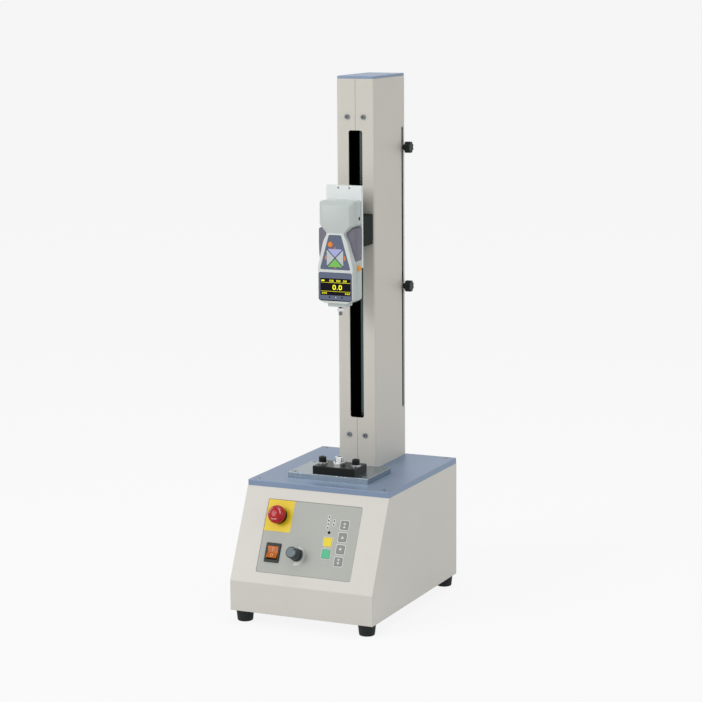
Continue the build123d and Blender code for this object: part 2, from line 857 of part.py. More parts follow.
# Bearing blocks, behind the covers' front screws, with a ball bearing in each
with BuildPart() as bearing_blocks:
    for level in (upper_cover_screw_z, lower_cover_screw_z):
        with BuildSketch(Plane.XY.offset(level - bearing_block_height / 2)):
            with Locations((0, (inner_front_y + frame_front_y) / 2)):
                Rectangle(2 * (inner_half_width - gap), frame_front_y - inner_front_y)
        extrude(amount=bearing_block_height)
        with BuildSketch(Plane.XY.offset(level - bearing_block_height / 2)):
            with Locations((0, screw_y)):
                Circle(bearing_diameter / 2 + fit)
        extrude(amount=bearing_block_height, mode=Mode.SUBTRACT)
    chamfer(bearing_blocks.edges().filter_by(Axis.Z).group_by(Axis.Y)[0], cover_bend_radius / 2)
    with BuildSketch(front_view(inner_front_y)):
        with Locations(*front_screw_places):
            Circle(pan_screw_diameter / 2 + fit)
    extrude(amount=-pan_screw_length, mode=Mode.SUBTRACT)

with BuildPart() as screw_bearings:
    for level in (upper_cover_screw_z, lower_cover_screw_z):
        with BuildSketch(Plane.XY.offset(level - bearing_height / 2)):
            with Locations((0, screw_y)):
                Circle(bearing_diameter / 2)
                Circle(screw_journal_diameter / 2 + fit, mode=Mode.SUBTRACT)
        extrude(amount=bearing_height)

bearing_units = Compound(children=[*bearing_blocks.part.solids(), *screw_bearings.part.solids()])
bearing_units.label = "bearing_blocks"
export_step(bearing_units, "parts/bearing_blocks.step")

# Ball screw, with a journal in each bearing and a tail down to its pulley
pulley_high = housing_top - pulley_drop
pulley_low = pulley_high - pulley_width
screw_low = lower_cover_screw_z + bearing_block_height / 2 + gap
screw_high = upper_cover_screw_z - bearing_block_height / 2 - gap
with BuildPart() as ball_screw:
    with BuildSketch(Plane.XY.offset(screw_low)):
        with Locations((0, screw_y)):
            Circle(screw_diameter / 2)
    extrude(amount=screw_high - screw_low)
    with BuildSketch(Plane.XY.offset(pulley_low)):
        with Locations((0, screw_y)):
            Circle(screw_journal_diameter / 2)
    extrude(amount=upper_cover_screw_z + screw_overrun - pulley_low)

ball_screw.part.label = "ball_screw"
export_step(ball_screw.part, "parts/ball_screw.step")


def toothed_pulley(center_y, bore_radius):
    """A flanged timing pulley around a vertical axis, with round-bottomed tooth gaps."""
    root = pulley_diameter / 2
    with BuildPart() as pulley:
        with BuildSketch(Plane.XY.offset(pulley_low)):
            with Locations((0, center_y)):
                Circle(root)
                with PolarLocations(root, pulley_teeth):
                    Circle(root * 0.05, mode=Mode.SUBTRACT)
        extrude(amount=pulley_width)
        for low in (pulley_low, pulley_high - pulley_flange_thickness):
            with BuildSketch(Plane.XY.offset(low)):
                with Locations((0, center_y)):
                    Circle(root + pulley_flange)
            extrude(amount=pulley_flange_thickness)
        if bore_radius:
            with BuildSketch(Plane.XY.offset(pulley_low)):
                with Locations((0, center_y)):
                    Circle(bore_radius)
            extrude(amount=pulley_width, mode=Mode.SUBTRACT)
    return pulley.part


# Screw pulley, clamped on the screw's tail
with BuildPart() as screw_pulley:
    add(toothed_pulley(screw_y, screw_journal_diameter / 2 + fit))

screw_pulley.part.label = "screw_pulley"
export_step(screw_pulley.part, "parts/screw_pulley.step")

# Motor pulley with the motor's shaft in it
bracket_top = housing_top - bracket_drop
bracket_low = bracket_top - bracket_thickness
shaft_bury = 20.0
with BuildPart() as motor_pulley:
    add(toothed_pulley(motor_y, 0))
    with BuildSketch(Plane.XY.offset(pulley_low)):
        with Locations((0, motor_y)):
            Circle(motor_shaft_diameter / 2)
    extrude(amount=-(pulley_low - bracket_low + shaft_bury))

motor_pulley.part.label = "motor_pulley"
export_step(motor_pulley.part, "parts/motor_pulley.step")

# Timing belt: a loop round both pulleys
belt_radius = pulley_diameter / 2 + gap
with BuildPart() as timing_belt:
    with BuildSketch(Plane.XY.offset((pulley_low + pulley_high - belt_width) / 2)):
        with Locations((0, (screw_y + motor_y) / 2)):
            SlotCenterToCenter(screw_y - motor_y, 2 * (belt_radius + belt_thickness), rotation=90)
            SlotCenterToCenter(
                screw_y - motor_y, 2 * belt_radius, rotation=90, mode=Mode.SUBTRACT
            )
    extrude(amount=belt_width)

timing_belt.part.label = "timing_belt"
export_step(timing_belt.part, "parts/timing_belt.step")

# Motor bracket: a plate on four posts under the base plate
post_spacing = bracket_size - 2 * bracket_post_inset
motor_hole_spacing = motor_size - 10
with BuildPart() as motor_bracket:
    with BuildSketch(Plane.XY.offset(bracket_low)):
        with Locations((0, motor_y)):
            RectangleRounded(bracket_size, bracket_size, 5)
            Circle(motor_pilot_diameter / 2 + gap, mode=Mode.SUBTRACT)
            with GridLocations(motor_hole_spacing, motor_hole_spacing, 2, 2):
                Circle(2.6, mode=Mode.SUBTRACT)
    extrude(amount=bracket_thickness)
    with BuildSketch(Plane.XY.offset(bracket_top)):
        with Locations((0, motor_y)):
            with GridLocations(post_spacing, post_spacing, 2, 2):
                Circle(bracket_post_diameter / 2)
    extrude(amount=housing_top - bracket_top)

motor_bracket.part.label = "motor_bracket"
export_step(motor_bracket.part, "parts/motor_bracket.step")

# Motor: a square body under the bracket, with its pilot in the bracket's hole
with BuildPart() as motor:
    with BuildSketch(Plane.XY.offset(bracket_low)):
        with Locations((0, motor_y)):
            RectangleRounded(motor_size, motor_size, motor_corner_radius)
    extrude(amount=-motor_length)
    with BuildSketch(Plane.XY.offset(bracket_low)):
        with Locations((0, motor_y)):
            Circle(motor_pilot_diameter / 2)
    extrude(amount=1.6)
    with BuildSketch(Plane.XY.offset(bracket_low + 1.6)):
        with Locations((0, motor_y)):
            Circle(motor_shaft_diameter / 2 + fit)
    extrude(amount=-(1.6 + shaft_bury + gap), mode=Mode.SUBTRACT)

motor.part.label = "motor"
export_step(motor.part, "parts/motor.step")

# Power supply: a metal box on the tray, with a terminal step at its rear
tray_floor = housing_z + tray_thickness
with BuildPart() as power_supply:
    with BuildSketch(Plane.XY.offset(tray_floor)):
        with Locations((supply_x, electronics_y)):
            Rectangle(supply_width, supply_length)
    extrude(amount=supply_height)
    with BuildSketch(Plane.XY.offset(tray_floor + supply_height / 2)):
        with Locations((supply_x, electronics_y + supply_length / 2)):
            Rectangle(supply_width, 14, align=(Align.CENTER, Align.MAX))
    extrude(amount=supply_height, mode=Mode.SUBTRACT)

power_supply.part.label = "power_supply"
export_step(power_supply.part, "parts/power_supply.step")

# Control board on four standoffs, with its larger components
board_low = tray_floor + standoff_height
with BuildPart() as control_board:
    with BuildSketch(Plane.XY.offset(tray_floor)):
        with Locations((control_board_x, electronics_y)):
            with GridLocations(control_board_width - 10, control_board_length - 10, 2, 2):
                Circle(standoff_diameter / 2)
    extrude(amount=standoff_height)
    with BuildSketch(Plane.XY.offset(board_low)):
        with Locations((control_board_x, electronics_y)):
            Rectangle(control_board_width, control_board_length)
    extrude(amount=board_thickness)
    with BuildSketch(Plane.XY.offset(board_low + board_thickness)):
        with Locations((control_board_x - 22, electronics_y - 30)):
            with GridLocations(16, 0, 2, 1):
                Circle(6)
        with Locations((control_board_x + 20, electronics_y)):
            Rectangle(12, 60)
        with Locations((control_board_x - 14, electronics_y + 36)):
            Rectangle(40, 12)
    extrude(amount=18)

control_board.part.label = "control_board"
export_step(control_board.part, "parts/control_board.step")

# Rear connectors: the mains inlet and the signal socket
with BuildPart() as mains_inlet:
    with BuildSketch(front_view(rear_y)):
        with Locations((inlet_x, connector_z)):
            RectangleRounded(inlet_width + 2 * inlet_flange, inlet_height + 2 * inlet_flange, 2)
    extrude(amount=-inlet_proud)
    with BuildSketch(front_view(rear_y)):
        with Locations((inlet_x, connector_z)):
            Rectangle(inlet_width, inlet_height)
    extrude(amount=inlet_depth)
    with BuildSketch(front_view(rear_y + inlet_proud)):
        with Locations((inlet_x, connector_z)):
            RectangleRounded(inlet_width - 3.4, inlet_height - 3.4, 1.5)
    extrude(amount=inlet_depth - 4, mode=Mode.SUBTRACT)
    with BuildSketch(front_view(rear_y + inlet_proud - inlet_depth + 4)):
        with Locations((inlet_x, connector_z)):
            with Locations((-7, -2), (0, 2), (7, -2)):
                Rectangle(2, 4)
    extrude(amount=-(inlet_depth - 8))

with BuildPart() as signal_socket:
    with BuildSketch(front_view(rear_y)):
        with Locations((signal_x, connector_z)):
            RectangleRounded(signal_flange_width, signal_flange_height, 1)
    extrude(amount=-0.8)
    with BuildSketch(front_view(rear_y)):
        with Locations((signal_x, connector_z)):
            Rectangle(signal_width, signal_height)
    extrude(amount=12)
    with BuildSketch(front_view(rear_y)):
        with Locations((signal_x, connector_z)):
            Trapezoid(signal_width, signal_height, 80, rotation=180)
    extrude(amount=-signal_proud)

rear_sockets = Compound(children=[*mains_inlet.part.solids(), *signal_socket.part.solids()])
rear_sockets.label = "rear_connectors"
export_step(rear_sockets, "parts/rear_connectors.step")

# Carriage: a machined block on the guide, with the arm that reaches through the slot
block_front_y = inner_front_y + carriage_front_gap
plate_rear_y = gauge_plate_front + gauge_plate_thickness
nut_low = carriage_z - carriage_height / 2
flag_x = carriage_width / 2
flag_rear_y = frame_rear_y + flag_tip_overlap
with BuildPart() as carriage_block:
    with BuildSketch(front_view(block_front_y)):
        with Locations((0, carriage_z)):
            Rectangle(carriage_width, carriage_height)
    extrude(amount=-(rail_block_front_y - block_front_y))
    chamfer(carriage_block.edges().filter_by(Axis.Y), 1.5)
    with BuildSketch(front_view(plate_rear_y)):
        with Locations((0, carriage_z)):
            Rectangle(arm_width, arm_height)
    extrude(amount=-(block_front_y - plate_rear_y))
    with BuildSketch(Plane.XY.offset(nut_low)):
        with Locations((0, screw_y)):
            Circle(nut_diameter / 2 + fit)
    extrude(amount=carriage_height, mode=Mode.SUBTRACT)
    with BuildSketch(side_view(-arm_width / 2)):
        with Locations(((plate_rear_y + column_front_y) / 2, carriage_z)):
            Circle(arm_hole_diameter / 2)
    extrude(amount=arm_width, mode=Mode.SUBTRACT)
    with BuildSketch(side_view(flag_x)):
        with Locations(((screw_y + flag_rear_y) / 2, carriage_z)):
            Rectangle(flag_rear_y - screw_y, flag_height)
    extrude(amount=flag_thickness)

carriage_block.part.label = "carriage_block"
export_step(carriage_block.part, "parts/carriage_block.step")

# Ball nut in the carriage, its flange under the block
with BuildPart() as ball_nut:
    with BuildSketch(Plane.XY.offset(nut_low)):
        with Locations((0, screw_y)):
            Circle(nut_diameter / 2)
    extrude(amount=nut_length - nut_flange_height)
    with BuildSketch(Plane.XY.offset(nut_low)):
        with Locations((0, screw_y)):
            Circle(nut_flange_diameter / 2)
    extrude(amount=-nut_flange_height)
    with BuildSketch(Plane.XY.offset(nut_low - nut_flange_height)):
        with Locations((0, screw_y)):
            Circle(screw_diameter / 2 + fit)
    extrude(amount=nut_length, mode=Mode.SUBTRACT)

ball_nut.part.label = "ball_nut"
export_step(ball_nut.part, "parts/ball_nut.step")

# Rail block, astride the guide rail
with BuildPart() as rail_block:
    with BuildSketch(Plane.XY.offset(carriage_z - rail_block_length / 2)):
        with Locations((0, rail_block_front_y)):
            Rectangle(
                rail_block_width,
                frame_front_y - rail_block_front_y - slide_gap * 8,
                align=(Align.CENTER, Align.MIN),
            )
        with Locations((0, rail_front_y - gap)):
            Rectangle(
                rail_width + 2 * gap,
                2 * rail_height,
                align=(Align.CENTER, Align.MIN),
                mode=Mode.SUBTRACT,
            )
    extrude(amount=rail_block_length)

rail_block.part.label = "rail_block"
export_step(rail_block.part, "parts/rail_block.step")

# Gauge plate: a bright flat plate on the end of the arm, with two spare holes on top
gauge_plate_top = carriage_z + gauge_plate_top_rise
with BuildPart() as gauge_plate:
    with BuildSketch(front_view(gauge_plate_front)):
        with Locations((0, gauge_plate_top)):
            Rectangle(gauge_plate_width, gauge_plate_height, align=(Align.CENTER, Align.MAX))
    extrude(amount=-gauge_plate_thickness)
    chamfer(gauge_plate.edges().filter_by(Axis.Y), 0.6)
    with BuildSketch(front_view(gauge_plate_front)):
        with Locations((0, gauge_plate_top - spare_hole_drop)):
            with GridLocations(spare_hole_spacing, 0, 2, 1):
                Circle(spare_hole_diameter / 2)
    extrude(amount=-gauge_plate_thickness, mode=Mode.SUBTRACT)

gauge_plate.part.label = "gauge_plate"
export_step(gauge_plate.part, "parts/gauge_plate.step")


def case_outline(top_width, top_z, waist_width, low_width, flare_end_z):
    """The gauge's front view: a square block, a narrow waist and a wide foot, with round corners."""
    top_half = top_width / 2
    waist_half = waist_width / 2
    low_half = low_width / 2
    shoulder_z = gauge_top - gauge_shoulder_drop
    waist_z = gauge_top - gauge_waist_drop
    with BuildSketch() as outline:
        with BuildLine():
            Polyline(
                (-top_half, top_z),
                (top_half, top_z),
                (top_half, shoulder_z),
                (waist_half, waist_z),
                (waist_half, waist_z - gauge_waist_height),
                (low_half, flare_end_z),
                (low_half, gauge_low + gauge_bottom_corner),
                (low_half - 2 * gauge_bottom_corner, gauge_low),
                (-low_half + 2 * gauge_bottom_corner, gauge_low),
                (-low_half, gauge_low + gauge_bottom_corner),
                (-low_half, flare_end_z),
                (-waist_half, waist_z - gauge_waist_height),
                (-waist_half, waist_z),
                (-top_half, shoulder_z),
                close=True,
            )
        make_face()
        top_corners = outline.vertices().group_by(Axis.Y)[-1]
        fillet(top_corners, gauge_bottom_corner / 2)
        shoulders = [v for v in outline.vertices() if abs(v.Y - shoulder_z) < 0.01]
        fillet(shoulders, gauge_bottom_corner)
        waist = [v for v in outline.vertices() if waist_z - gauge_waist_height - 0.01 < v.Y < waist_z + 0.01]
        fillet(waist, gauge_bottom_corner * 0.8)
        foot = [v for v in outline.vertices() if abs(v.Y - flare_end_z) < 0.01]
        fillet(foot, 4 * gauge_bottom_corner)
        low_corners = [v for v in outline.vertices() if abs(v.Y - gauge_low - gauge_bottom_corner) < 0.01]
        fillet(low_corners, gauge_bottom_corner)
    return outline.sketch


body_outline = case_outline(
    gauge_top_width, gauge_top, gauge_waist_width, gauge_low_width, gauge_low + gauge_flare_end_rise
)
face_outline = case_outline(
    gauge_face_top_width,
    gauge_top - gauge_top_bevel,
    gauge_face_waist_width,
    gauge_face_low_width,
    gauge_low + gauge_face_flare_end_rise,
)
boss_front_y = gauge_face_y + gauge_boss_setback
bevel_y = gauge_face_y + gauge_bevel_depth
display_z = gauge_low + display_rise + display_height / 2
keypad_z = gauge_low + keypad_rise + keypad_height / 2
keypad_angle = degrees(atan2(keypad_height, (keypad_low_width - keypad_top_width) / 2))
diamond_z = gauge_low + key_diamond_rise
power_key_z = gauge_low + power_key_rise
port_place = (gauge_rear_y - port_from_rear, gauge_top - port_drop)
button_place = (gauge_rear_y - side_button_from_rear, gauge_low + side_button_rise)
cavity_low = gauge_low + gauge_wall
cavity_high = gauge_top - gauge_top_bevel - gauge_wall
waist_cavity = gauge_face_waist_width - 2 * gauge_wall

# Gauge front case: the bevelled face, lofted onto the body's outline, hollow behind
with BuildPart() as gauge_front_case:
    with BuildSketch(front_view(gauge_face_y)):
        add(face_outline)
    with BuildSketch(front_view(bevel_y)):
        add(body_outline)
    loft(ruled=True)
    with BuildSketch(front_view(bevel_y)):
        add(body_outline)
    extrude(amount=-(gauge_split_y - gauge_parting / 2 - bevel_y))
    with BuildSketch(front_view(boss_front_y)):
        with Locations((0, gauge_low + gauge_boss_height)):
            Rectangle(gauge_boss_width, 2 * gauge_boss_height, align=(Align.CENTER, Align.MAX))
    extrude(amount=-(gauge_split_y - gauge_parting / 2 - boss_front_y))
    with BuildSketch(front_view(gauge_face_y + gauge_wall)):
        with Locations((0, cavity_low)):
            Rectangle(
                gauge_low_width - 2 * gauge_wall,
                gauge_flare_end_rise - gauge_wall,
                align=(Align.CENTER, Align.MIN),
            )
        with Locations((0, cavity_low)):
            Rectangle(waist_cavity, cavity_high - cavity_low, align=(Align.CENTER, Align.MIN))
        with Locations((0, cavity_high)):
            Rectangle(
                gauge_face_top_width - gauge_wall,
                gauge_shoulder_drop - gauge_top_bevel - 2 * gauge_wall,
                align=(Align.CENTER, Align.MAX),
            )
    extrude(amount=-gauge_front_shell_depth, mode=Mode.SUBTRACT)
    with BuildSketch(front_view(gauge_face_y)):
        with Locations((0, display_z)):
            RectangleRounded(display_width + 2 * gap, display_height + 2 * gap, display_corner_radius)
        with Locations((0, keypad_z)):
            Trapezoid(keypad_low_width + 2 * gap, keypad_height + 2 * gap, keypad_angle)
    extrude(amount=-inlay_recess, mode=Mode.SUBTRACT)
    with BuildSketch(front_view(gauge_face_y)):
        with Locations((0, diamond_z)):
            Rectangle(key_diamond_size + 2 * gap, key_diamond_size + 2 * gap)
        with Locations((power_key_x, power_key_z)):
            Circle(power_key_diameter / 2 + gap)
    extrude(amount=-2 * gauge_wall, mode=Mode.SUBTRACT)
    with BuildSketch(Plane.XY.offset(gauge_low - 2 * gauge_boss_height)):
        with Locations((0, gauge_shaft_y)):
            Circle(shaft_diameter / 2 + 0.8)
    extrude(amount=4 * gauge_boss_height, mode=Mode.SUBTRACT)
    with BuildSketch(side_view(gauge_low_width / 2 + 1)):
        with Locations(button_place):
            Circle(side_button_diameter / 2 + gap)
    extrude(amount=-2 * gauge_wall, mode=Mode.SUBTRACT)
    with BuildSketch(Plane.XY.offset(gauge_top)):
        for side in (-1, 1):
            with Locations((side * gauge_top_width / 2, (bevel_y + gauge_split_y) / 2)):
                Rectangle(2 * gauge_groove, 1.4)
    extrude(amount=-(gauge_shoulder_drop - 2), mode=Mode.SUBTRACT)

gauge_front_case.part.label = "gauge_front_case"
export_step(gauge_front_case.part, "parts/gauge_front_case.step")

# Gauge rear case: the other shell, flat against the gauge plate
with BuildPart() as gauge_rear_case:
    with BuildSketch(front_view(gauge_rear_y)):
        add(body_outline)
    extrude(amount=gauge_rear_y - gauge_split_y - gauge_parting / 2)
    with BuildSketch(front_view(gauge_split_y + gauge_parting / 2)):
        with Locations((0, gauge_low + gauge_boss_height)):
            Rectangle(gauge_boss_width, 2 * gauge_boss_height, align=(Align.CENTER, Align.MAX))
    extrude(amount=-(boss_front_y + gauge_boss_depth - gauge_split_y))
    with BuildSketch(front_view(gauge_rear_y - gauge_wall)):
        with Locations((0, cavity_low)):
            Rectangle(
                gauge_low_width - 2 * gauge_wall,
                gauge_flare_end_rise - gauge_wall,
                align=(Align.CENTER, Align.MIN),
            )
        with Locations((0, cavity_low)):
            Rectangle(waist_cavity, cavity_high - cavity_low, align=(Align.CENTER, Align.MIN))
        with Locations((0, cavity_high)):
            Rectangle(
                gauge_face_top_width - gauge_wall,
                gauge_shoulder_drop - gauge_top_bevel - 2 * gauge_wall,
                align=(Align.CENTER, Align.MAX),
            )
    extrude(amount=gauge_depth, mode=Mode.SUBTRACT)
    with BuildSketch(Plane.XY.offset(gauge_low - 2 * gauge_boss_height)):
        with Locations((0, gauge_shaft_y)):
            Circle(shaft_diameter / 2 + 0.8)
    extrude(amount=4 * gauge_boss_height, mode=Mode.SUBTRACT)
    with BuildSketch(side_view(gauge_low_width / 2 + 1)):
        with Locations(button_place):
            Circle(side_button_diameter / 2 + gap)
        with Locations(port_place):
            Circle(port_diameter / 2)
    extrude(amount=-2 * gauge_wall, mode=Mode.SUBTRACT)

gauge_rear_case.part.label = "gauge_rear_case"
export_step(gauge_rear_case.part, "parts/gauge_rear_case.step")

# Gauge grips: two dark inlays that fill the waist on either side
grip_high = gauge_top - gauge_shoulder_drop - gap
grip_low = gauge_low + gauge_flare_end_rise - gap
with BuildPart() as gauge_grips:
    with BuildSketch(front_view(gauge_rear_y - gap)) as grip_profile:
        for side in (-1, 1):
            with BuildLine():
                Polyline(
                    (side * gauge_face_waist_width / 4, grip_high),
                    (side * (gauge_top_width / 2 + grip_bulge), grip_high - 2 * grip_bulge),
                    (side * (gauge_top_width / 2 + grip_bulge / 4), (grip_high + grip_low) / 2 - 5),
                    (side * gauge_low_width / 2, grip_low),
                    (side * gauge_face_waist_width / 4, grip_low),
                    close=True,
                )
            make_face()
        offset(body_outline, amount=gap, mode=Mode.SUBTRACT)
    extrude(amount=gauge_depth - grip_front_setback - gap)
    outer_edges = [
        edge
        for edge in gauge_grips.faces().sort_by(Axis.Y)[:2].edges()
        if edge.length > 8 and abs(edge.center().X) > gauge_top_width / 2 - 2
    ]
    chamfer(outer_edges, grip_round)

gauge_grips.part.label = "gauge_grips"
export_step(gauge_grips.part, "parts/gauge_grips.step")

# Display panel of the gauge
inlay_back_y = gauge_face_y + inlay_recess
with BuildPart() as gauge_display:
    with BuildSketch(front_view(inlay_back_y)):
        with Locations((0, display_z)):
            RectangleRounded(display_width, display_height, display_corner_radius - gap)
    extrude(amount=inlay_thickness)

gauge_display.part.label = "gauge_display"
export_step(gauge_display.part, "parts/gauge_display.step")

# Four triangular keys that make a square, told by the way each one points from the middle
half_diamond = key_diamond_size / 2
diamond_ways = {"top": (0, 1), "right": (1, 0), "bottom": (0, -1), "left": (-1, 0)}


def key_triangle(way, shrink):
    """Corners of one of the four keys, its tip at the square's middle, pulled in by shrink."""
    x, z = way
    tip = key_diamond_rib * 0.707 + shrink * 1.414
    base = half_diamond - shrink
    wing = base - tip
    return [
        (x * tip, z * tip),
        (x * base + z * wing, z * base + x * wing),
        (x * base - z * wing, z * base - x * wing),
    ]


# Keypad panel of the gauge, with an opening for each key
with BuildPart() as gauge_keypad_panel:
    with BuildSketch(front_view(inlay_back_y)) as keypad_profile:
        with Locations((0, keypad_z)):
            Trapezoid(keypad_low_width, keypad_height, keypad_angle)
        fillet(keypad_profile.vertices(), keypad_corner_radius)
        for way in diamond_ways.values():
            with BuildLine(mode=Mode.PRIVATE) as key_hole:
                Polyline(*[(x, z + diamond_z) for x, z in key_triangle(way, 0)], close=True)
            add(make_face(key_hole.edges(), mode=Mode.PRIVATE), mode=Mode.SUBTRACT)
        with Locations((power_key_x, power_key_z)):
            Circle(power_key_diameter / 2 + gap, mode=Mode.SUBTRACT)
    extrude(amount=inlay_thickness)

gauge_keypad_panel.part.label = "gauge_keypad_panel"
export_step(gauge_keypad_panel.part, "parts/gauge_keypad_panel.step")

# Gauge keys: each slides in its own opening
panel_face_y = inlay_back_y - inlay_thickness
for word, way in diamond_ways.items():
    with BuildPart() as gauge_key:
        with BuildSketch(front_view(panel_face_y - gauge_key_proud)) as key_profile:
            with BuildLine():
                Polyline(*[(x, z + diamond_z) for x, z in key_triangle(way, gap)], close=True)
            make_face()
            fillet(key_profile.vertices(), 0.8)
        extrude(amount=-gauge_key_depth)
    gauge_key.part.label = f"gauge_key_{word}"
    export_step(gauge_key.part, f"parts/gauge_key_{word}.step")

with BuildPart() as gauge_key_power:
    with BuildSketch(front_view(panel_face_y - gauge_key_proud)):
        with Locations((power_key_x, power_key_z)):
            Circle(power_key_diameter / 2)
    extrude(amount=-gauge_key_depth)
    fillet(gauge_key_power.faces().sort_by(Axis.Y)[0].edges(), 0.4)

gauge_key_power.part.label = "gauge_key_power"
export_step(gauge_key_power.part, "parts/gauge_key_power.step")

# Side button of the gauge: a domed push button on the right
with BuildPart() as gauge_side_button:
    with BuildSketch(side_view(gauge_low_width / 2 - gauge_wall)):
        with Locations(button_place):
            Circle(side_button_diameter / 2)
    extrude(amount=gauge_wall + side_button_proud)
    fillet(gauge_side_button.faces().sort_by(Axis.X)[-1].edges(), side_button_diameter * 0.35)

gauge_side_button.part.label = "gauge_side_button"
export_step(gauge_side_button.part, "parts/gauge_side_button.step")

# Load cell inside the gauge
cell_low = cavity_low + gap
shaft_tip_z = gauge_low - gauge_boss_height - shaft_free_length
with BuildPart() as gauge_load_cell:
    with BuildSketch(Plane.XY.offset(cell_low)):
        with Locations((0, gauge_shaft_y)):
            Rectangle(load_cell_width, load_cell_depth)
    extrude(amount=load_cell_height)
    with BuildSketch(front_view(gauge_shaft_y)):
        with Locations((0, cell_low + load_cell_height / 2)):
            with GridLocations(load_cell_width / 3, 0, 2, 1):
                Circle(load_cell_width / 8)
            Rectangle(load_cell_width / 3, 2)
    extrude(amount=load_cell_depth, both=True, mode=Mode.SUBTRACT)
    with BuildSketch(Plane.XY.offset(cell_low)):
        with Locations((0, gauge_shaft_y)):
            Circle(shaft_diameter / 2 + fit)
    extrude(amount=8, mode=Mode.SUBTRACT)

gauge_load_cell.part.label = "gauge_load_cell"
export_step(gauge_load_cell.part, "parts/gauge_load_cell.step")

# Sensing shaft of the gauge, with a relief groove in its thread and a lock nut over it
nut_high = gauge_low - gauge_boss_height - shaft_nut_drop
with BuildPart() as sensing_shaft:
    with BuildSketch(Plane.XY.offset(shaft_tip_z)):
        with Locations((0, gauge_shaft_y)):
            Circle(shaft_diameter / 2)
    extrude(amount=cell_low + 7 - shaft_tip_z)
    chamfer(sensing_shaft.edges().group_by(Axis.Z)[0], 0.7)
    with BuildSketch(Plane.XY.offset(nut_high - shaft_nut_height)):
        with Locations((0, gauge_shaft_y)):
            Circle(shaft_diameter)
            Circle(shaft_diameter / 2 - shaft_relief, mode=Mode.SUBTRACT)
    extrude(amount=2 * shaft_relief, mode=Mode.SUBTRACT)

with BuildPart() as shaft_nut:
    with BuildSketch(Plane.XY.offset(nut_high)):
        with Locations((0, gauge_shaft_y)):
            RegularPolygon(shaft_nut_flats / 2, 6, major_radius=False)
            Circle(shaft_diameter / 2 + fit, mode=Mode.SUBTRACT)
    extrude(amount=-shaft_nut_height)

shaft_pieces = Compound(children=[*sensing_shaft.part.solids(), *shaft_nut.part.solids()])
shaft_pieces.label = "gauge_shaft"
export_step(shaft_pieces, "parts/gauge_shaft.step")

# Limit sliders: a light gate on a plate inside the cover, with a stud through the side slot
fork_x = flag_x + flag_thickness / 2
fork_half = sensor_gap / 2 + sensor_wall
fork_base_y = flag_rear_y + slide_gap * 2
for name, level in (("upper", upper_limit_z), ("lower", lower_limit_z)):
    with BuildPart() as limit_slider:
        with BuildSketch(side_view(inner_half_width)):
            with Locations((side_slot_y, level)):
                Rectangle(limit_plate_size, limit_plate_size)
        extrude(amount=-limit_plate_thickness)
        with BuildSketch(Plane.XY.offset(level - sensor_height / 2)):
            with Locations((fork_x, fork_base_y + sensor_wall)):
                Rectangle(
                    2 * fork_half, sensor_reach + sensor_wall, align=(Align.CENTER, Align.MAX)
                )
            with Locations((fork_x, fork_base_y)):
                Rectangle(
                    sensor_gap, 2 * sensor_reach, align=(Align.CENTER, Align.MAX), mode=Mode.SUBTRACT
                )
        extrude(amount=sensor_height)
        with BuildSketch(side_view(inner_half_width)):
            with Locations((side_slot_y, level)):
                Circle(limit_stud_diameter / 2)
        extrude(amount=cover_sheet + limit_knob_gap + limit_knob_length - 1)
        with BuildSketch(side_view(column_width / 2)):
            with Locations((side_slot_y, level)):
                Circle(limit_washer_diameter / 2)
        extrude(amount=limit_washer_height)
    limit_slider.part.label = f"limit_slider_{name}"
    export_step(limit_slider.part, f"parts/limit_slider_{name}.step")

# Limit knobs: scalloped clamp knobs on the sliders' studs
knob_start = column_width / 2 + limit_washer_height
for name, level in (("upper", upper_limit_z), ("lower", lower_limit_z)):
    with BuildPart() as limit_knob:
        with BuildSketch(side_view(column_width / 2 + limit_knob_gap)) as lobes:
            with Locations((side_slot_y, level)):
                Circle(limit_knob_diameter / 2)
                with PolarLocations(limit_knob_diameter / 2 + 0.9, limit_knob_lobes):
                    Circle(limit_knob_diameter / 8, mode=Mode.SUBTRACT)
            fillet(lobes.vertices(), 0.8)
        extrude(amount=limit_knob_length)
        chamfer(limit_knob.faces().sort_by(Axis.X)[-1].edges(), 0.6)
        with BuildSketch(side_view(knob_start)):
            with Locations((side_slot_y, level)):
                Circle(limit_washer_diameter / 2 - 0.8)
        extrude(amount=limit_knob_gap - limit_washer_height)
        with BuildSketch(side_view(knob_start)):
            with Locations((side_slot_y, level)):
                Circle(limit_stud_diameter / 2 + fit)
        extrude(amount=limit_knob_gap + limit_knob_length - limit_washer_height - 0.8, mode=Mode.SUBTRACT)
    limit_knob.part.label = f"limit_knob_{name}"
    export_step(limit_knob.part, f"parts/limit_knob_{name}.step")

# Keys of the control panel: name, place and size of each
panel_keys = [
    ("key_fast_up", arrow_key_x, arrow_key_top_y, arrow_key_size),
    ("key_up", arrow_key_x, arrow_key_top_y - arrow_key_pitch, arrow_key_size),
    ("key_down", arrow_key_x, arrow_key_top_y - 2 * arrow_key_pitch, arrow_key_size),
    ("key_fast_down", arrow_key_x, arrow_key_top_y - 3 * arrow_key_pitch, arrow_key_size),
    ("key_yellow", colour_key_x, colour_key_y, colour_key_size),
    ("key_green", colour_key_x, colour_key_y - colour_key_pitch, colour_key_size),
]
led_places = [(led_x, led_top_y - row * led_pitch) for row in range(4)]
led_places += [(led_second_x, led_top_y - row * led_pitch) for row in (1, 2)]

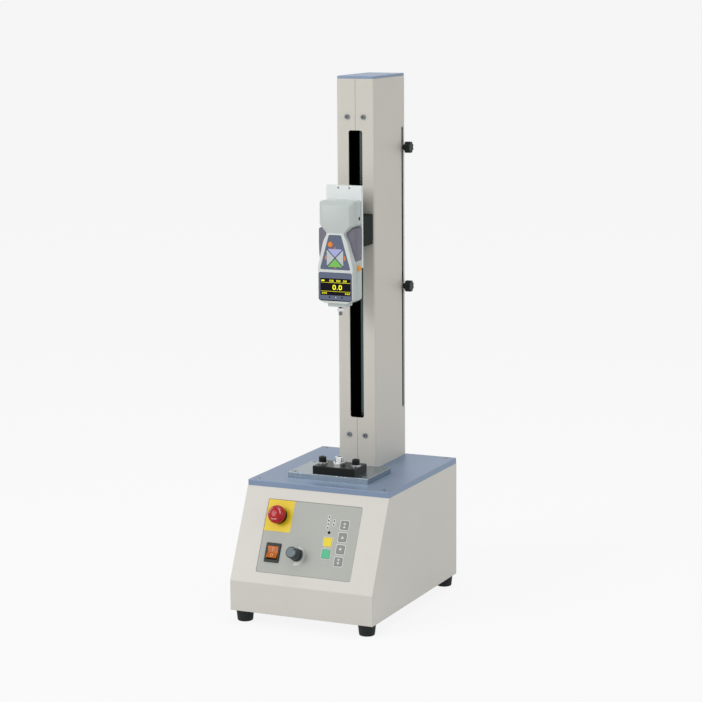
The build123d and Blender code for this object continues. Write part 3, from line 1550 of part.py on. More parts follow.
# Control panel: a sheet in the housing's window, with a flange behind it
with BuildPart() as control_panel:
    with BuildSketch(slope.offset(panel_front)):
        RectangleRounded(panel_width, panel_height, panel_corner_radius - gap)
    extrude(amount=-(housing_sheet - panel_sink))
    with BuildSketch(slope.offset(-housing_sheet)):
        Rectangle(panel_width + 2 * panel_flange, panel_height + 2 * panel_flange)
    extrude(amount=-panel_flange_thickness)
    with BuildSketch(slope.offset(panel_front)):
        with Locations((left_controls_x, e_stop_y)):
            Circle(e_stop_hole / 2)
        with Locations((left_controls_x, lower_controls_y)):
            Rectangle(switch_body_width + 2 * gap, switch_body_height + 2 * gap)
        with Locations((knob_x, lower_controls_y)):
            Circle(pot_bushing_diameter / 2 + gap)
        for name, x, y, size in panel_keys:
            with Locations((x, y)):
                RectangleRounded(size + 2 * gap, size + 2 * gap, key_corner_radius + gap)
        with Locations(*led_places):
            Circle(led_diameter / 2 + gap)
        with Locations((recessed_switch_x, recessed_switch_y)):
            Circle(recessed_switch_hole / 2)
    extrude(amount=-(panel_front - panel_back), mode=Mode.SUBTRACT)

control_panel.part.label = "control_panel"
export_step(control_panel.part, "parts/control_panel.step")

# Panel keys: square caps with a flange behind the sheet
for name, x, y, size in panel_keys:
    with BuildPart() as panel_key:
        with BuildSketch(slope.offset(panel_front + key_proud)):
            with Locations((x, y)):
                RectangleRounded(size, size, key_corner_radius)
        extrude(amount=-(panel_front + key_proud - panel_back))
        with BuildSketch(slope.offset(panel_back)):
            with Locations((x, y)):
                Rectangle(size + 2 * key_flange, size + 2 * key_flange)
        extrude(amount=-key_flange_thickness)
    panel_key.part.label = name
    export_step(panel_key.part, f"parts/{name}.step")

# Panel board, with the switches, indicator lamps and the speed potentiometer on it
board_front = -board_depth
board_left = knob_x - pot_body_diameter / 2 - 4
board_right = arrow_key_x + arrow_key_size / 2 + 6
switch_places = [(x, y) for name, x, y, size in panel_keys]
plunger_top = panel_back - key_flange_thickness - key_travel - 0.2
with BuildPart() as panel_board:
    with BuildSketch(slope.offset(board_front)):
        with Locations(((board_left + board_right) / 2, 0)):
            Rectangle(board_right - board_left, panel_height - 12)
    extrude(amount=-board_thickness)
    with BuildSketch(slope.offset(board_front)):
        with Locations(*switch_places, (recessed_switch_x, recessed_switch_y)):
            Rectangle(tact_body, tact_body)
    extrude(amount=tact_height)
    with BuildSketch(slope.offset(board_front + tact_height)):
        with Locations(*switch_places, (recessed_switch_x, recessed_switch_y)):
            Circle(tact_plunger / 2)
    extrude(amount=plunger_top - board_front - tact_height)
    with BuildSketch(slope.offset(board_front)):
        with Locations(*led_places):
            Circle(led_diameter / 2)
    extrude(amount=board_depth - panel_sink - 0.2)
    with BuildSketch(slope.offset(board_front)):
        with Locations((knob_x, lower_controls_y)):
            Circle(pot_body_diameter / 2)
    extrude(amount=board_depth + panel_back - gap)
    with BuildSketch(slope.offset(panel_back - gap)):
        with Locations((knob_x, lower_controls_y)):
            Circle(pot_bushing_diameter / 2)
    extrude(amount=panel_front - panel_back + gap + knob_clear - gap)
    with BuildSketch(slope.offset(panel_front + knob_clear)):
        with Locations((knob_x, lower_controls_y)):
            Circle(pot_shaft_diameter / 2 + fit)
    extrude(amount=-(board_depth + knob_clear - 2), mode=Mode.SUBTRACT)

panel_board.part.label = "panel_board"
export_step(panel_board.part, "parts/panel_board.step")

# Speed knob: a fluted knob with a skirt, a pointer nib and the shaft in the potentiometer
with BuildPart() as speed_knob:
    with BuildSketch(slope.offset(panel_front + knob_clear)):
        with Locations((knob_x, lower_controls_y)):
            Circle(knob_skirt_diameter / 2)
    extrude(amount=knob_skirt_height)
    with BuildSketch(slope.offset(panel_front + knob_clear)):
        with Locations((knob_x, lower_controls_y)):
            with PolarLocations(knob_skirt_diameter / 2 - 0.4, 1, start_angle=knob_pointer_angle):
                Rectangle(3.2, 2.2)
    extrude(amount=knob_skirt_height)
    with BuildSketch(slope.offset(panel_front + knob_clear + knob_skirt_height)):
        with Locations((knob_x, lower_controls_y)):
            Circle(knob_diameter / 2)
            with PolarLocations(knob_diameter / 2 + 0.35, knob_flutes):
                Circle(0.8, mode=Mode.SUBTRACT)
    extrude(amount=knob_height - knob_skirt_height - knob_cap_height)
    with BuildSketch(slope.offset(panel_front + knob_clear + knob_height - knob_cap_height)):
        with Locations((knob_x, lower_controls_y)):
            Circle(knob_diameter / 2 - knob_cap_height)
    extrude(amount=knob_cap_height, taper=30)
    with BuildSketch(slope.offset(panel_front + knob_clear)):
        with Locations((knob_x, lower_controls_y)):
            Circle(pot_shaft_diameter / 2)
    extrude(amount=-(board_depth + knob_clear - 3))

speed_knob.part.label = "speed_knob"
export_step(speed_knob.part, "parts/speed_knob.step")

# Emergency stop base: collar, threaded barrel and contact block
stop_bore_depth = e_stop_barrel_length + e_stop_block_length / 2
with BuildPart() as e_stop_base:
    with BuildSketch(slope.offset(panel_front)):
        with Locations((left_controls_x, e_stop_y)):
            Circle(e_stop_collar_diameter / 2)
    extrude(amount=e_stop_collar_height)
    with BuildSketch(slope.offset(panel_front)):
        with Locations((left_controls_x, e_stop_y)):
            Circle(e_stop_barrel / 2)
    extrude(amount=-e_stop_barrel_length)
    with BuildSketch(slope.offset(panel_front - e_stop_barrel_length)):
        with Locations((left_controls_x, e_stop_y)):
            RectangleRounded(e_stop_block_size, e_stop_block_size, 2)
    extrude(amount=-e_stop_block_length)
    with BuildSketch(slope.offset(panel_front + e_stop_collar_height)):
        with Locations((left_controls_x, e_stop_y)):
            Circle(e_stop_stem_diameter / 2 + fit)
    extrude(amount=-(e_stop_collar_height + stop_bore_depth), mode=Mode.SUBTRACT)

e_stop_base.part.label = "e_stop_base"
export_step(e_stop_base.part, "parts/e_stop_base.step")

# Emergency stop stem: the plunger that slides in the barrel, with a spigot for the head
head_low = panel_front + e_stop_collar_height + e_stop_head_clear
stem_low = panel_front - stop_bore_depth + e_stop_travel + 1
with BuildPart() as e_stop_stem:
    with BuildSketch(slope.offset(stem_low)):
        with Locations((left_controls_x, e_stop_y)):
            Circle(e_stop_stem_diameter / 2)
    extrude(amount=head_low - gap - stem_low)
    with BuildSketch(slope.offset(head_low - gap)):
        with Locations((left_controls_x, e_stop_y)):
            Circle(e_stop_spigot_diameter / 2)
    extrude(amount=e_stop_skirt_height + gap)

e_stop_stem.part.label = "e_stop_stem"
export_step(e_stop_stem.part, "parts/e_stop_stem.step")

# Emergency stop head: a red mushroom that turns on the spigot
head_plane = Plane(
    origin=slope.from_local_coords(Vector(left_controls_x, e_stop_y, head_low)),
    x_dir=(1, 0, 0),
    z_dir=slope.y_dir * -1,
)
head_radius = e_stop_head_diameter / 2
with BuildPart() as e_stop_head:
    with BuildSketch(head_plane):
        with BuildLine():
            Line((0, 0), (head_radius - 1, 0))
            Line((head_radius - 1, 0), (head_radius, 1))
            Line((head_radius, 1), (head_radius, e_stop_skirt_height))
            Spline(
                (head_radius, e_stop_skirt_height),
                (head_radius * 0.82, e_stop_skirt_height + e_stop_dome_height * 0.62),
                (0, e_stop_skirt_height + e_stop_dome_height),
                tangents=((0, 1), (-1, 0)),
            )
            Line((0, e_stop_skirt_height + e_stop_dome_height), (0, 0))
        make_face()
    revolve(axis=Axis(head_plane.origin, slope.z_dir))
    with BuildSketch(slope.offset(head_low)):
        with Locations((left_controls_x, e_stop_y)):
            Circle(e_stop_spigot_diameter / 2 + fit)
    extrude(amount=e_stop_skirt_height + gap, mode=Mode.SUBTRACT)

e_stop_head.part.label = "e_stop_head"
export_step(e_stop_head.part, "parts/e_stop_head.step")

# Power switch body: a bezel and a box with a pocket for the rocker
pocket_width = rocker_width + 2 * slide_gap
pocket_length = rocker_length + 2 * 1.3
pin_reach = 1.0
with BuildPart() as power_switch_body:
    with BuildSketch(slope.offset(panel_front)):
        with Locations((left_controls_x, lower_controls_y)):
            RectangleRounded(switch_width, switch_height, 1.2)
    extrude(amount=switch_bezel)
    chamfer(power_switch_body.faces().sort_by(panel_normal)[-1].edges(), 0.5)
    with BuildSketch(slope.offset(panel_front)):
        with Locations((left_controls_x, lower_controls_y)):
            Rectangle(switch_body_width, switch_body_height)
    extrude(amount=-switch_depth)
    with BuildSketch(slope.offset(panel_front + switch_bezel)):
        with Locations((left_controls_x, lower_controls_y)):
            Rectangle(pocket_width, pocket_length)
    extrude(amount=-(switch_bezel + switch_depth * 0.6), mode=Mode.SUBTRACT)
    pin_plane = Plane(
        origin=slope.from_local_coords(
            Vector(left_controls_x, lower_controls_y, panel_front - rocker_pivot_depth)
        ),
        x_dir=slope.y_dir,
        z_dir=(1, 0, 0),
    )
    with BuildSketch(pin_plane):
        Circle(rocker_pin_diameter / 2 + fit)
    extrude(amount=rocker_width / 2 + pin_reach + gap, both=True, mode=Mode.SUBTRACT)

power_switch_body.part.label = "power_switch_body"
export_step(power_switch_body.part, "parts/power_switch_body.step")

# Power rocker: two slopes that meet in a valley, tilted with its upper half pressed
rocker_half = rocker_length / 2
rocker_tilt = radians(rocker_swing / 2)
rocker_plane = Plane(
    origin=pin_plane.origin,
    x_dir=slope.y_dir * cos(rocker_tilt) - slope.z_dir * sin(rocker_tilt),
    z_dir=(1, 0, 0),
)
with BuildPart() as power_rocker:
    with BuildSketch(rocker_plane):
        with BuildLine():
            Polyline(
                (-rocker_half, rocker_pivot_depth + rocker_rise),
                (0, rocker_pivot_depth + rocker_valley),
                (rocker_half, rocker_pivot_depth + rocker_rise),
                (rocker_half - 0.8, -2),
                (0, -6),
                (-rocker_half + 0.8, -2),
                close=True,
            )
        make_face()
    extrude(amount=rocker_width / 2, both=True)
    with BuildSketch(rocker_plane):
        Circle(rocker_pin_diameter / 2)
    extrude(amount=rocker_width / 2 + pin_reach, both=True)

power_rocker.part.label = "power_rocker"
export_step(power_rocker.part, "parts/power_rocker.step")
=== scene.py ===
from math import atan2, cos, pi, radians, sin, tan

import bmesh
import bpy
from mathutils import Matrix, Vector


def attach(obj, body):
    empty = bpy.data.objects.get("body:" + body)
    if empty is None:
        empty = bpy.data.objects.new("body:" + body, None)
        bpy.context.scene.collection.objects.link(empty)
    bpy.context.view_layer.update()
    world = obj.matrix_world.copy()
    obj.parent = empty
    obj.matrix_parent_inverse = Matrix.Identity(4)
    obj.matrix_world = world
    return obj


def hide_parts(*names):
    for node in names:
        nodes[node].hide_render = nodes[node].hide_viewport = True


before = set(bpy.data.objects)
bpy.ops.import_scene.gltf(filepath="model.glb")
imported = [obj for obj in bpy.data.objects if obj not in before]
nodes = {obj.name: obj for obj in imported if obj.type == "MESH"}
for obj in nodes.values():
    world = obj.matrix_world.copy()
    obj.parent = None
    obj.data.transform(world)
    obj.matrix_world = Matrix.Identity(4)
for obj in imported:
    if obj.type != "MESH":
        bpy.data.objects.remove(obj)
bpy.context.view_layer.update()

# Looks of a motorized test stand with a digital force gauge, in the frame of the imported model:
# X to the right, Y to the back, Z up from the floor. The camera, the lamps and the materials are
# in metres, and the pieces in millimetres times MM.
MM = 0.001


# Camera, at the photograph's viewing angle
CAMERA_TARGET = Vector((-0.00432, 0.03249, 0.39998))
CAMERA_AZIMUTH = radians(24.6654)
CAMERA_ELEVATION = radians(9.5254)
CAMERA_ROLL = radians(-0.4017)
CAMERA_DISTANCE = 3.59622
CAMERA_LENS = 117.05
CAMERA_SENSOR = 36
CAMERA_REACH = 1000


def make_camera():
    back = Vector((
        sin(CAMERA_AZIMUTH) * cos(CAMERA_ELEVATION),
        -cos(CAMERA_AZIMUTH) * cos(CAMERA_ELEVATION),
        sin(CAMERA_ELEVATION),
    ))
    right = Vector((0, 0, 1)).cross(back).normalized()
    up = back.cross(right)
    rolled_right = right * cos(CAMERA_ROLL) + up * sin(CAMERA_ROLL)
    rolled_up = up * cos(CAMERA_ROLL) - right * sin(CAMERA_ROLL)
    data = bpy.data.cameras.new("camera")
    data.lens = CAMERA_LENS
    data.sensor_width = CAMERA_SENSOR
    data.clip_end = CAMERA_REACH
    camera = bpy.data.objects.new("camera", data)
    bpy.context.scene.collection.objects.link(camera)
    turn = Matrix((rolled_right, rolled_up, back)).transposed().to_4x4()
    camera.matrix_world = Matrix.Translation(CAMERA_TARGET + back * CAMERA_DISTANCE) @ turn
    bpy.context.scene.camera = camera


make_camera()


# Light: a bright soft lamp at the left front, a weaker one at the right and one overhead
def make_lamp(name, place, target, size, power, color=(1, 1, 1)):
    data = bpy.data.lights.new(name, "AREA")
    data.shape = "RECTANGLE"
    data.size = size[0]
    data.size_y = size[1]
    data.energy = power
    data.color = color
    lamp = bpy.data.objects.new(name, data)
    lamp.location = place
    lamp.rotation_mode = "QUATERNION"
    lamp.rotation_quaternion = (Vector(target) - Vector(place)).to_track_quat("-Z", "Y")
    bpy.context.scene.collection.objects.link(lamp)


make_lamp("lamp_key", (-2.0, -3.2, 2.1), (0, 0, 0.4), (2.0, 2.0), 58, (1.0, 0.99, 0.97))
make_lamp("lamp_fill", (3.4, -0.6, 1.4), (0, 0, 0.4), (2.4, 2.4), 15, (0.97, 0.98, 0.94))
make_lamp("lamp_top", (0.2, 0.4, 3.4), (0, 0, 0.2), (2.2, 2.2), 22)
AMBIENT = 0.46
BACKGROUND = 0.93
FLOOR_REACH = 400.0
FLOOR_GREY = 0.8
FLOOR_SHOWN_SHARE = 0.87


def worked_out(tree, operation, *values):
    """The output of a math node whose inputs are sockets or numbers."""
    node = tree.nodes.new("ShaderNodeMath")
    node.operation = operation
    for value, socket in zip(values, node.inputs):
        if isinstance(value, float):
            socket.default_value = value
        else:
            tree.links.new(value, socket)
    return node.outputs[0]


def seen_by_eye(tree):
    """A socket that is 1 for rays that show the background: camera, glossy and transmission."""
    path = tree.nodes.new("ShaderNodeLightPath").outputs
    direct = worked_out(tree, "MAXIMUM", path["Is Camera Ray"], path["Is Glossy Ray"])
    return worked_out(tree, "MAXIMUM", direct, path["Is Transmission Ray"])


def make_world():
    world = bpy.data.worlds.new("studio")
    bpy.context.scene.world = world
    world.use_nodes = True
    tree = world.node_tree
    tree.nodes.clear()
    ambient = tree.nodes.new("ShaderNodeBackground")
    ambient.inputs["Color"].default_value = (0.98, 0.99, 1.0, 1)
    ambient.inputs["Strength"].default_value = AMBIENT
    shown = tree.nodes.new("ShaderNodeBackground")
    shown.inputs["Color"].default_value = (1, 1, 1, 1)
    shown.inputs["Strength"].default_value = BACKGROUND
    mix = tree.nodes.new("ShaderNodeMixShader")
    out = tree.nodes.new("ShaderNodeOutputWorld")
    tree.links.new(seen_by_eye(tree), mix.inputs[0])
    tree.links.new(ambient.outputs[0], mix.inputs[1])
    tree.links.new(shown.outputs[0], mix.inputs[2])
    tree.links.new(mix.outputs[0], out.inputs["Surface"])


make_world()


def make_floor():
    """A plain pale floor that keeps the object's soft shadow."""
    mesh = bpy.data.meshes.new("floor")
    signs = ((-1, -1), (1, -1), (1, 1), (-1, 1))
    corners = [(x * FLOOR_REACH, y * FLOOR_REACH, 0) for x, y in signs]
    mesh.from_pydata(corners, [], [(0, 1, 2, 3)])
    floor = bpy.data.objects.new("floor", mesh)
    bpy.context.scene.collection.objects.link(floor)
    material = bpy.data.materials.new("floor")
    material.use_nodes = True
    tree = material.node_tree
    tree.nodes.clear()
    diffuse = tree.nodes.new("ShaderNodeBsdfDiffuse")
    diffuse.inputs["Color"].default_value = (FLOOR_GREY, FLOOR_GREY, FLOOR_GREY, 1)
    glow = tree.nodes.new("ShaderNodeEmission")
    glow.inputs["Strength"].default_value = 1.0
    share = worked_out(tree, "MULTIPLY", seen_by_eye(tree), FLOOR_SHOWN_SHARE)
    mix = tree.nodes.new("ShaderNodeMixShader")
    out = tree.nodes.new("ShaderNodeOutputMaterial")
    tree.links.new(share, mix.inputs[0])
    tree.links.new(diffuse.outputs[0], mix.inputs[1])
    tree.links.new(glow.outputs[0], mix.inputs[2])
    tree.links.new(mix.outputs[0], out.inputs["Surface"])
    mesh.materials.append(material)


make_floor()
bpy.context.scene.view_settings.view_transform = "Standard"


# Materials. Each has its own tone variation, roughness variation and fine relief.
def linear(code):
    """A colour written as #rrggbb, as linear light."""
    parts = [int(code[i:i + 2], 16) / 255 for i in (1, 3, 5)]
    return [c / 12.92 if c <= 0.04045 else ((c + 0.055) / 1.055) ** 2.4 for c in parts] + [1]


def noise(tree, vector, scale, detail=3.0, roughness=0.55):
    node = tree.nodes.new("ShaderNodeTexNoise")
    node.inputs["Scale"].default_value = scale
    node.inputs["Detail"].default_value = detail
    node.inputs["Roughness"].default_value = roughness
    tree.links.new(vector, node.inputs["Vector"])
    return node.outputs["Fac"]


def spread(tree, value, low, high, start=0.3, end=0.7):
    node = tree.nodes.new("ShaderNodeMapRange")
    node.inputs["From Min"].default_value = start
    node.inputs["From Max"].default_value = end
    node.inputs["To Min"].default_value = low
    node.inputs["To Max"].default_value = high
    tree.links.new(value, node.inputs["Value"])
    return node.outputs["Result"]


def blended(tree, factor, first, second):
    node = tree.nodes.new("ShaderNodeMix")
    node.data_type = "RGBA"
    tree.links.new(factor, node.inputs["Factor"])
    for value, key in ((first, "A"), (second, "B")):
        socket = [s for s in node.inputs if s.name == key and s.type == "RGBA"][0]
        if isinstance(value, list):
            socket.default_value = value
        else:
            tree.links.new(value, socket)
    return [s for s in node.outputs if s.type == "RGBA"][0]


COLUMN_MIDDLE_Y = 0.105
COLUMN_INNER_HALF_X, COLUMN_INNER_HALF_Y = 0.0309, 0.0589


def column_inside_shade_mask(tree, place):
    """1 on what lies inside the column's covers, 0 outside, where their paint is darkened as
    painted shade.
    """
    axes = tree.nodes.new("ShaderNodeSeparateXYZ")
    tree.links.new(place, axes.inputs[0])
    x, y = axes.outputs["X"], axes.outputs["Y"]
    within_x = worked_out(tree, "COMPARE", x, 0.0, COLUMN_INNER_HALF_X)
    within_y = worked_out(tree, "COMPARE", y, COLUMN_MIDDLE_Y, COLUMN_INNER_HALF_Y)
    return worked_out(tree, "MULTIPLY", within_x, within_y)


def surface(name, color, roughness, metallic=0.0, tone=0.04, tone_scale=9.0, relief=0.00002,
            relief_scale=900.0, stretch=(1, 1, 1), round_edge=0.0004, edge_highlight_and_wear=0.0, coat=0.0,
            glow=0.0, inside_shade_color=None, shine=0.5):
    """A procedural surface with slow tones, a fine relief and edges painted lighter: a painted
    highlight, partly wear.
    """
    material = bpy.data.materials.new(name)
    material.use_nodes = True
    tree = material.node_tree
    shader = tree.nodes["Principled BSDF"]
    place = tree.nodes.new("ShaderNodeTexCoord").outputs["Object"]
    if stretch != (1, 1, 1):
        mapping = tree.nodes.new("ShaderNodeMapping")
        mapping.inputs["Scale"].default_value = stretch
        tree.links.new(place, mapping.inputs["Vector"])
        fine_place = mapping.outputs["Vector"]
    else:
        fine_place = place
    base = linear(color)
    light = [min(1.0, c * (1 + tone)) for c in base[:3]] + [1]
    dark = [c * (1 - tone) for c in base[:3]] + [1]
    slow = noise(tree, place, tone_scale)
    fine = noise(tree, fine_place, relief_scale, 4.0, 0.6)
    tint = blended(tree, spread(tree, slow, 0, 1), dark, light)
    bevel = tree.nodes.new("ShaderNodeBevel")
    bevel.samples = 4
    bevel.inputs["Radius"].default_value = round_edge
    # Edges painted lighter than the surface: a painted highlight, partly wear.
    if edge_highlight_and_wear:
        sharp = tree.nodes.new("ShaderNodeNewGeometry").outputs["Normal"]
        dot = tree.nodes.new("ShaderNodeVectorMath")
        dot.operation = "DOT_PRODUCT"
        tree.links.new(bevel.outputs["Normal"], dot.inputs[0])
        tree.links.new(sharp, dot.inputs[1])
        highlit_worn_edge = [min(1.0, c + edge_highlight_and_wear) for c in base[:3]] + [1]
        tint = blended(tree, spread(tree, dot.outputs["Value"], 1, 0, 0.85, 0.995), tint, highlit_worn_edge)
    # The covers' insides are painted dark: painted shade inside the column.
    if inside_shade_color:
        tint = blended(tree, column_inside_shade_mask(tree, place), tint, linear(inside_shade_color))
    tree.links.new(tint, shader.inputs["Base Color"])
    tree.links.new(
        spread(tree, fine, max(0.02, roughness - 0.05), min(1.0, roughness + 0.05)),
        shader.inputs["Roughness"],
    )
    bump = tree.nodes.new("ShaderNodeBump")
    bump.inputs["Strength"].default_value = 0.6
    bump.inputs["Distance"].default_value = relief
    tree.links.new(fine, bump.inputs["Height"])
    tree.links.new(bevel.outputs["Normal"], bump.inputs["Normal"])
    tree.links.new(bump.outputs["Normal"], shader.inputs["Normal"])
    shader.inputs["Metallic"].default_value = metallic
    shader.inputs["Specular IOR Level"].default_value = shine
    shader.inputs["Coat Weight"].default_value = coat
    shader.inputs["Coat Roughness"].default_value = 0.12
    if glow:
        tree.links.new(tint, shader.inputs["Emission Color"])
        shader.inputs["Emission Strength"].default_value = glow
    return material


def key_plastic(name, color, roughness):
    return surface(name, color, roughness, tone=0.02, relief_scale=1600, round_edge=0.0005)


paint_pale = surface("paint_pale", "#dcd9d2", 0.42, tone=0.012, relief=0.00003, relief_scale=700,
                     round_edge=0.0012, edge_highlight_and_wear=0.05)
# Cover paint, painted dark inside the column as painted shade.
paint_cover = surface("paint_cover", "#dad6cd", 0.45, tone=0.014, tone_scale=5, relief=0.00003,
                      relief_scale=700, round_edge=0.0006, edge_highlight_and_wear=0.04, inside_shade_color="#10181a")
# Cover paint darkened for the seam: painted shade.
paint_seam_shade = surface("paint_seam_shade", "#aeaba3", 0.5, tone=0.03, relief_scale=700)
paint_slate = surface("paint_slate", "#8295b0", 0.40, metallic=0.3, tone=0.03, relief=0.00005,
                      relief_scale=520, round_edge=0.0007, edge_highlight_and_wear=0.16)
zinc = surface("zinc", "#a9adb0", 0.38, metallic=1.0, tone=0.10, tone_scale=40)
rubber_black = surface("rubber_black", "#18201f", 0.66, tone=0.12, tone_scale=60, relief=0.00006,
                       relief_scale=1400, round_edge=0.0008, shine=0.3)
steel = surface("steel", "#b4b6b6", 0.30, metallic=1.0, tone=0.06, tone_scale=120,
                round_edge=0.0003)
ground_steel = surface("ground_steel", "#8b979f", 0.24, metallic=0.9, tone=0.03, tone_scale=30,
                       relief=0.000004, relief_scale=420, stretch=(0.06, 1, 1), round_edge=0.0005,
                       edge_highlight_and_wear=0.2)
# Steel darkened for the rail, the ball screw and its nut: painted shade of the column's inside.
rail_steel_shaded = surface("rail_steel_shaded", "#4c5759", 0.24, metallic=1.0, tone=0.05, relief_scale=500,
                     stretch=(1, 1, 0.05))
# Darker steel for the covers' screws and the gauge shaft: painted dark reflection.
steel_dark_reflection = surface("steel_dark_reflection", "#7d8588", 0.2, metallic=1.0, tone=0.06, tone_scale=120,
                      round_edge=0.0003)
chrome = surface("chrome", "#d4d6d8", 0.12, metallic=1.0, tone=0.02, relief=0.000004)
milled = surface("milled", "#b3b7b8", 0.36, metallic=1.0, tone=0.05, relief_scale=380,
                 stretch=(1, 1, 0.08), round_edge=0.0005)
plate_bright = surface("plate_bright", "#e4e9e9", 0.42, metallic=0.25, tone=0.015,
                       relief_scale=500, stretch=(1, 1, 0.08), round_edge=0.0005)
oxide_black = surface("oxide_black", "#0c1211", 0.34, metallic=0.1, tone=0.16, tone_scale=60,
                      relief=0.00003, round_edge=0.0006, edge_highlight_and_wear=0.05, shine=0.2)
# Black of the arm block, which also stands in for the gauge's shadow on the column: partly painted
# shadow.
arm_black_and_shadow = surface("arm_black_and_shadow", "#0d1a17", 0.6, tone=0.16, tone_scale=60, relief=0.00003,
                    shine=0.12)
# Near-black column frame and bearing blocks: painted shade of the column's inside.
frame_painted_shade = surface("frame_painted_shade", "#10181a", 0.55, metallic=0.3, tone=0.16, tone_scale=30,
                     relief=0.00003)
plastic_black = surface("plastic_black", "#101b1a", 0.44, tone=0.12, tone_scale=80, relief=0.00004,
                        relief_scale=1500, round_edge=0.0005, shine=0.3)
plastic_bezel = surface("plastic_bezel", "#141d1f", 0.38, tone=0.10, tone_scale=80, relief=0.00004,
                        relief_scale=1600, round_edge=0.0006, shine=0.25)
knob_plastic = surface("knob_plastic", "#333b3f", 0.48, tone=0.08, tone_scale=90, relief=0.00004,
                       relief_scale=1500, round_edge=0.0005)
knob_cap = surface("knob_cap", "#66737a", 0.46, tone=0.06, tone_scale=90, relief_scale=1500,
                   round_edge=0.0003)
panel_sheet = surface("panel_sheet", "#b6b8b2", 0.50, tone=0.012, tone_scale=20,
                      relief_scale=1600, round_edge=0.0003)
key_grey = key_plastic("key_grey", "#8d908c", 0.52)
key_yellow = key_plastic("key_yellow", "#f3dc2c", 0.50)
key_green = key_plastic("key_green", "#52c192", 0.50)
print_white = surface("print_white", "#e9ebe8", 0.55, tone=0.01, relief_scale=1600)
print_grey = surface("print_grey", "#dcdfd8", 0.55, tone=0.01, relief_scale=1600)
print_rose = surface("print_rose", "#e3b3ae", 0.45, tone=0.02, relief_scale=1600)
print_amber = surface("print_amber", "#f3c79a", 0.45, tone=0.02, relief_scale=1600)
print_yellow = surface("print_yellow", "#f4d414", 0.48, tone=0.015, tone_scale=30,
                       relief_scale=1600)
stop_red = surface("stop_red", "#b40718", 0.2, tone=0.04, tone_scale=60, relief=0.000015,
                   round_edge=0.0005, coat=0.15, shine=0.3)
stop_black = surface("stop_black", "#1b1c1d", 0.42, tone=0.1, tone_scale=90, relief_scale=1400)
rocker_amber = surface("rocker_amber", "#c0640e", 0.26, tone=0.16, tone_scale=160,
                       relief_scale=600, coat=0.1, glow=0.04, shine=0.2)
board_green = surface("board_green", "#1f5a34", 0.45, tone=0.1, tone_scale=60)
case_plastic = surface("case_plastic", "#c6cecb", 0.36, tone=0.012, tone_scale=30, relief=0.00003,
                       relief_scale=1500, round_edge=0.0010, edge_highlight_and_wear=0.02)
# A lighter copy of the case plastic for the raised shield: painted highlight on its rims.
case_plastic_highlit = surface("case_plastic_highlit", "#dfe5e4", 0.34, tone=0.01, tone_scale=30, relief=0.00003,
                   relief_scale=1500, round_edge=0.0006)
grip_plastic = surface("grip_plastic", "#747280", 0.55, tone=0.05, tone_scale=80, relief=0.00006,
                       relief_scale=1200, round_edge=0.0010)
slate_sheet = surface("slate_sheet", "#687189", 0.42, tone=0.02, tone_scale=60, relief_scale=1600,
                      round_edge=0.0003, shine=0.25)
key_lilac = key_plastic("key_lilac", "#b4b8ec", 0.45)
key_white = key_plastic("key_white", "#c9d0d2", 0.45)
key_leaf = key_plastic("key_leaf", "#7fc95c", 0.45)
orange = surface("orange", "#f58a24", 0.42, tone=0.03, relief_scale=1600, round_edge=0.0005)
button_amber = surface("button_amber", "#f7a81c", 0.30, tone=0.05, tone_scale=90,
                       round_edge=0.0005, coat=0.4)
screen_dark = surface("screen_dark", "#120d17", 0.30, tone=0.06, tone_scale=60, relief=0.000004,
                      shine=0.1)
screen_lit = surface("screen_lit", "#e6e20a", 0.35, tone=0.03, tone_scale=200, glow=0.75)
lamp_off = surface("lamp_off", "#3d4240", 0.25, tone=0.08, tone_scale=200, coat=0.5)
lamp_lit = surface("lamp_lit", "#c6e02a", 0.30, tone=0.05, tone_scale=200, glow=0.5)
# Near black for dark lamps, and for painted shade in holes, recesses, sockets and joints.
hole_shade_and_black = surface("hole_shade_and_black", "#08090a", 0.75, tone=0.1, tone_scale=200, shine=0.1)

node_looks = (
    (paint_pale, "base_housing"),
    (zinc, "bottom_cover power_supply"),
    (rubber_black, "feet timing_belt"),
    (paint_slate, "base_plate column_cap"),
    (steel, "plate_screws e_stop_stem gauge_shaft limit_slider_upper limit_slider_lower"),
    (ground_steel, "work_table"),
    (oxide_black, "fixture_block fixture_screws carriage_block"),
    (chrome, "fixture_post"),
    (paint_cover, "column_cover_left column_cover_right"),
    (steel_dark_reflection, "column_screws"),
    (frame_painted_shade, "column_frame bearing_blocks"),
    (rail_steel_shaded, "guide_rail ball_screw ball_nut rail_block"),
    (milled, "screw_pulley motor_pulley motor_bracket gauge_load_cell"),
    (plastic_black, "motor rear_connectors limit_knob_upper limit_knob_lower"),
    (board_green, "control_board panel_board"),
    (panel_sheet, "control_panel"),
    (stop_black, "e_stop_base"),
    (stop_red, "e_stop_head"),
    (plastic_bezel, "power_switch_body"),
    (rocker_amber, "power_rocker"),
    (knob_plastic, "speed_knob"),
    (key_grey, "key_fast_up key_up key_down key_fast_down"),
    (key_yellow, "key_yellow"),
    (key_green, "key_green"),
    (plate_bright, "gauge_plate"),
    (case_plastic, "gauge_front_case gauge_rear_case"),
    (grip_plastic, "gauge_grips"),
    (slate_sheet, "gauge_keypad_panel gauge_display"),
    (orange, "gauge_key_power"),
    (key_lilac, "gauge_key_top"),
    (key_white, "gauge_key_left gauge_key_right"),
    (key_leaf, "gauge_key_bottom"),
    (button_amber, "gauge_side_button"),
)
for look, names in node_looks:
    for name in names.split():
        nodes[name].data.materials.clear()
        nodes[name].data.materials.append(look)


# Working planes. A point (x, y, h) on one is right, up and out of the surface, in millimetres.
def plane(origin, right, up):
    right = Vector(right).normalized()
    up = Vector(up).normalized()
    turn = Matrix((right, up, right.cross(up))).transposed().to_4x4()
    return Matrix.Translation(Vector(origin)) @ turn


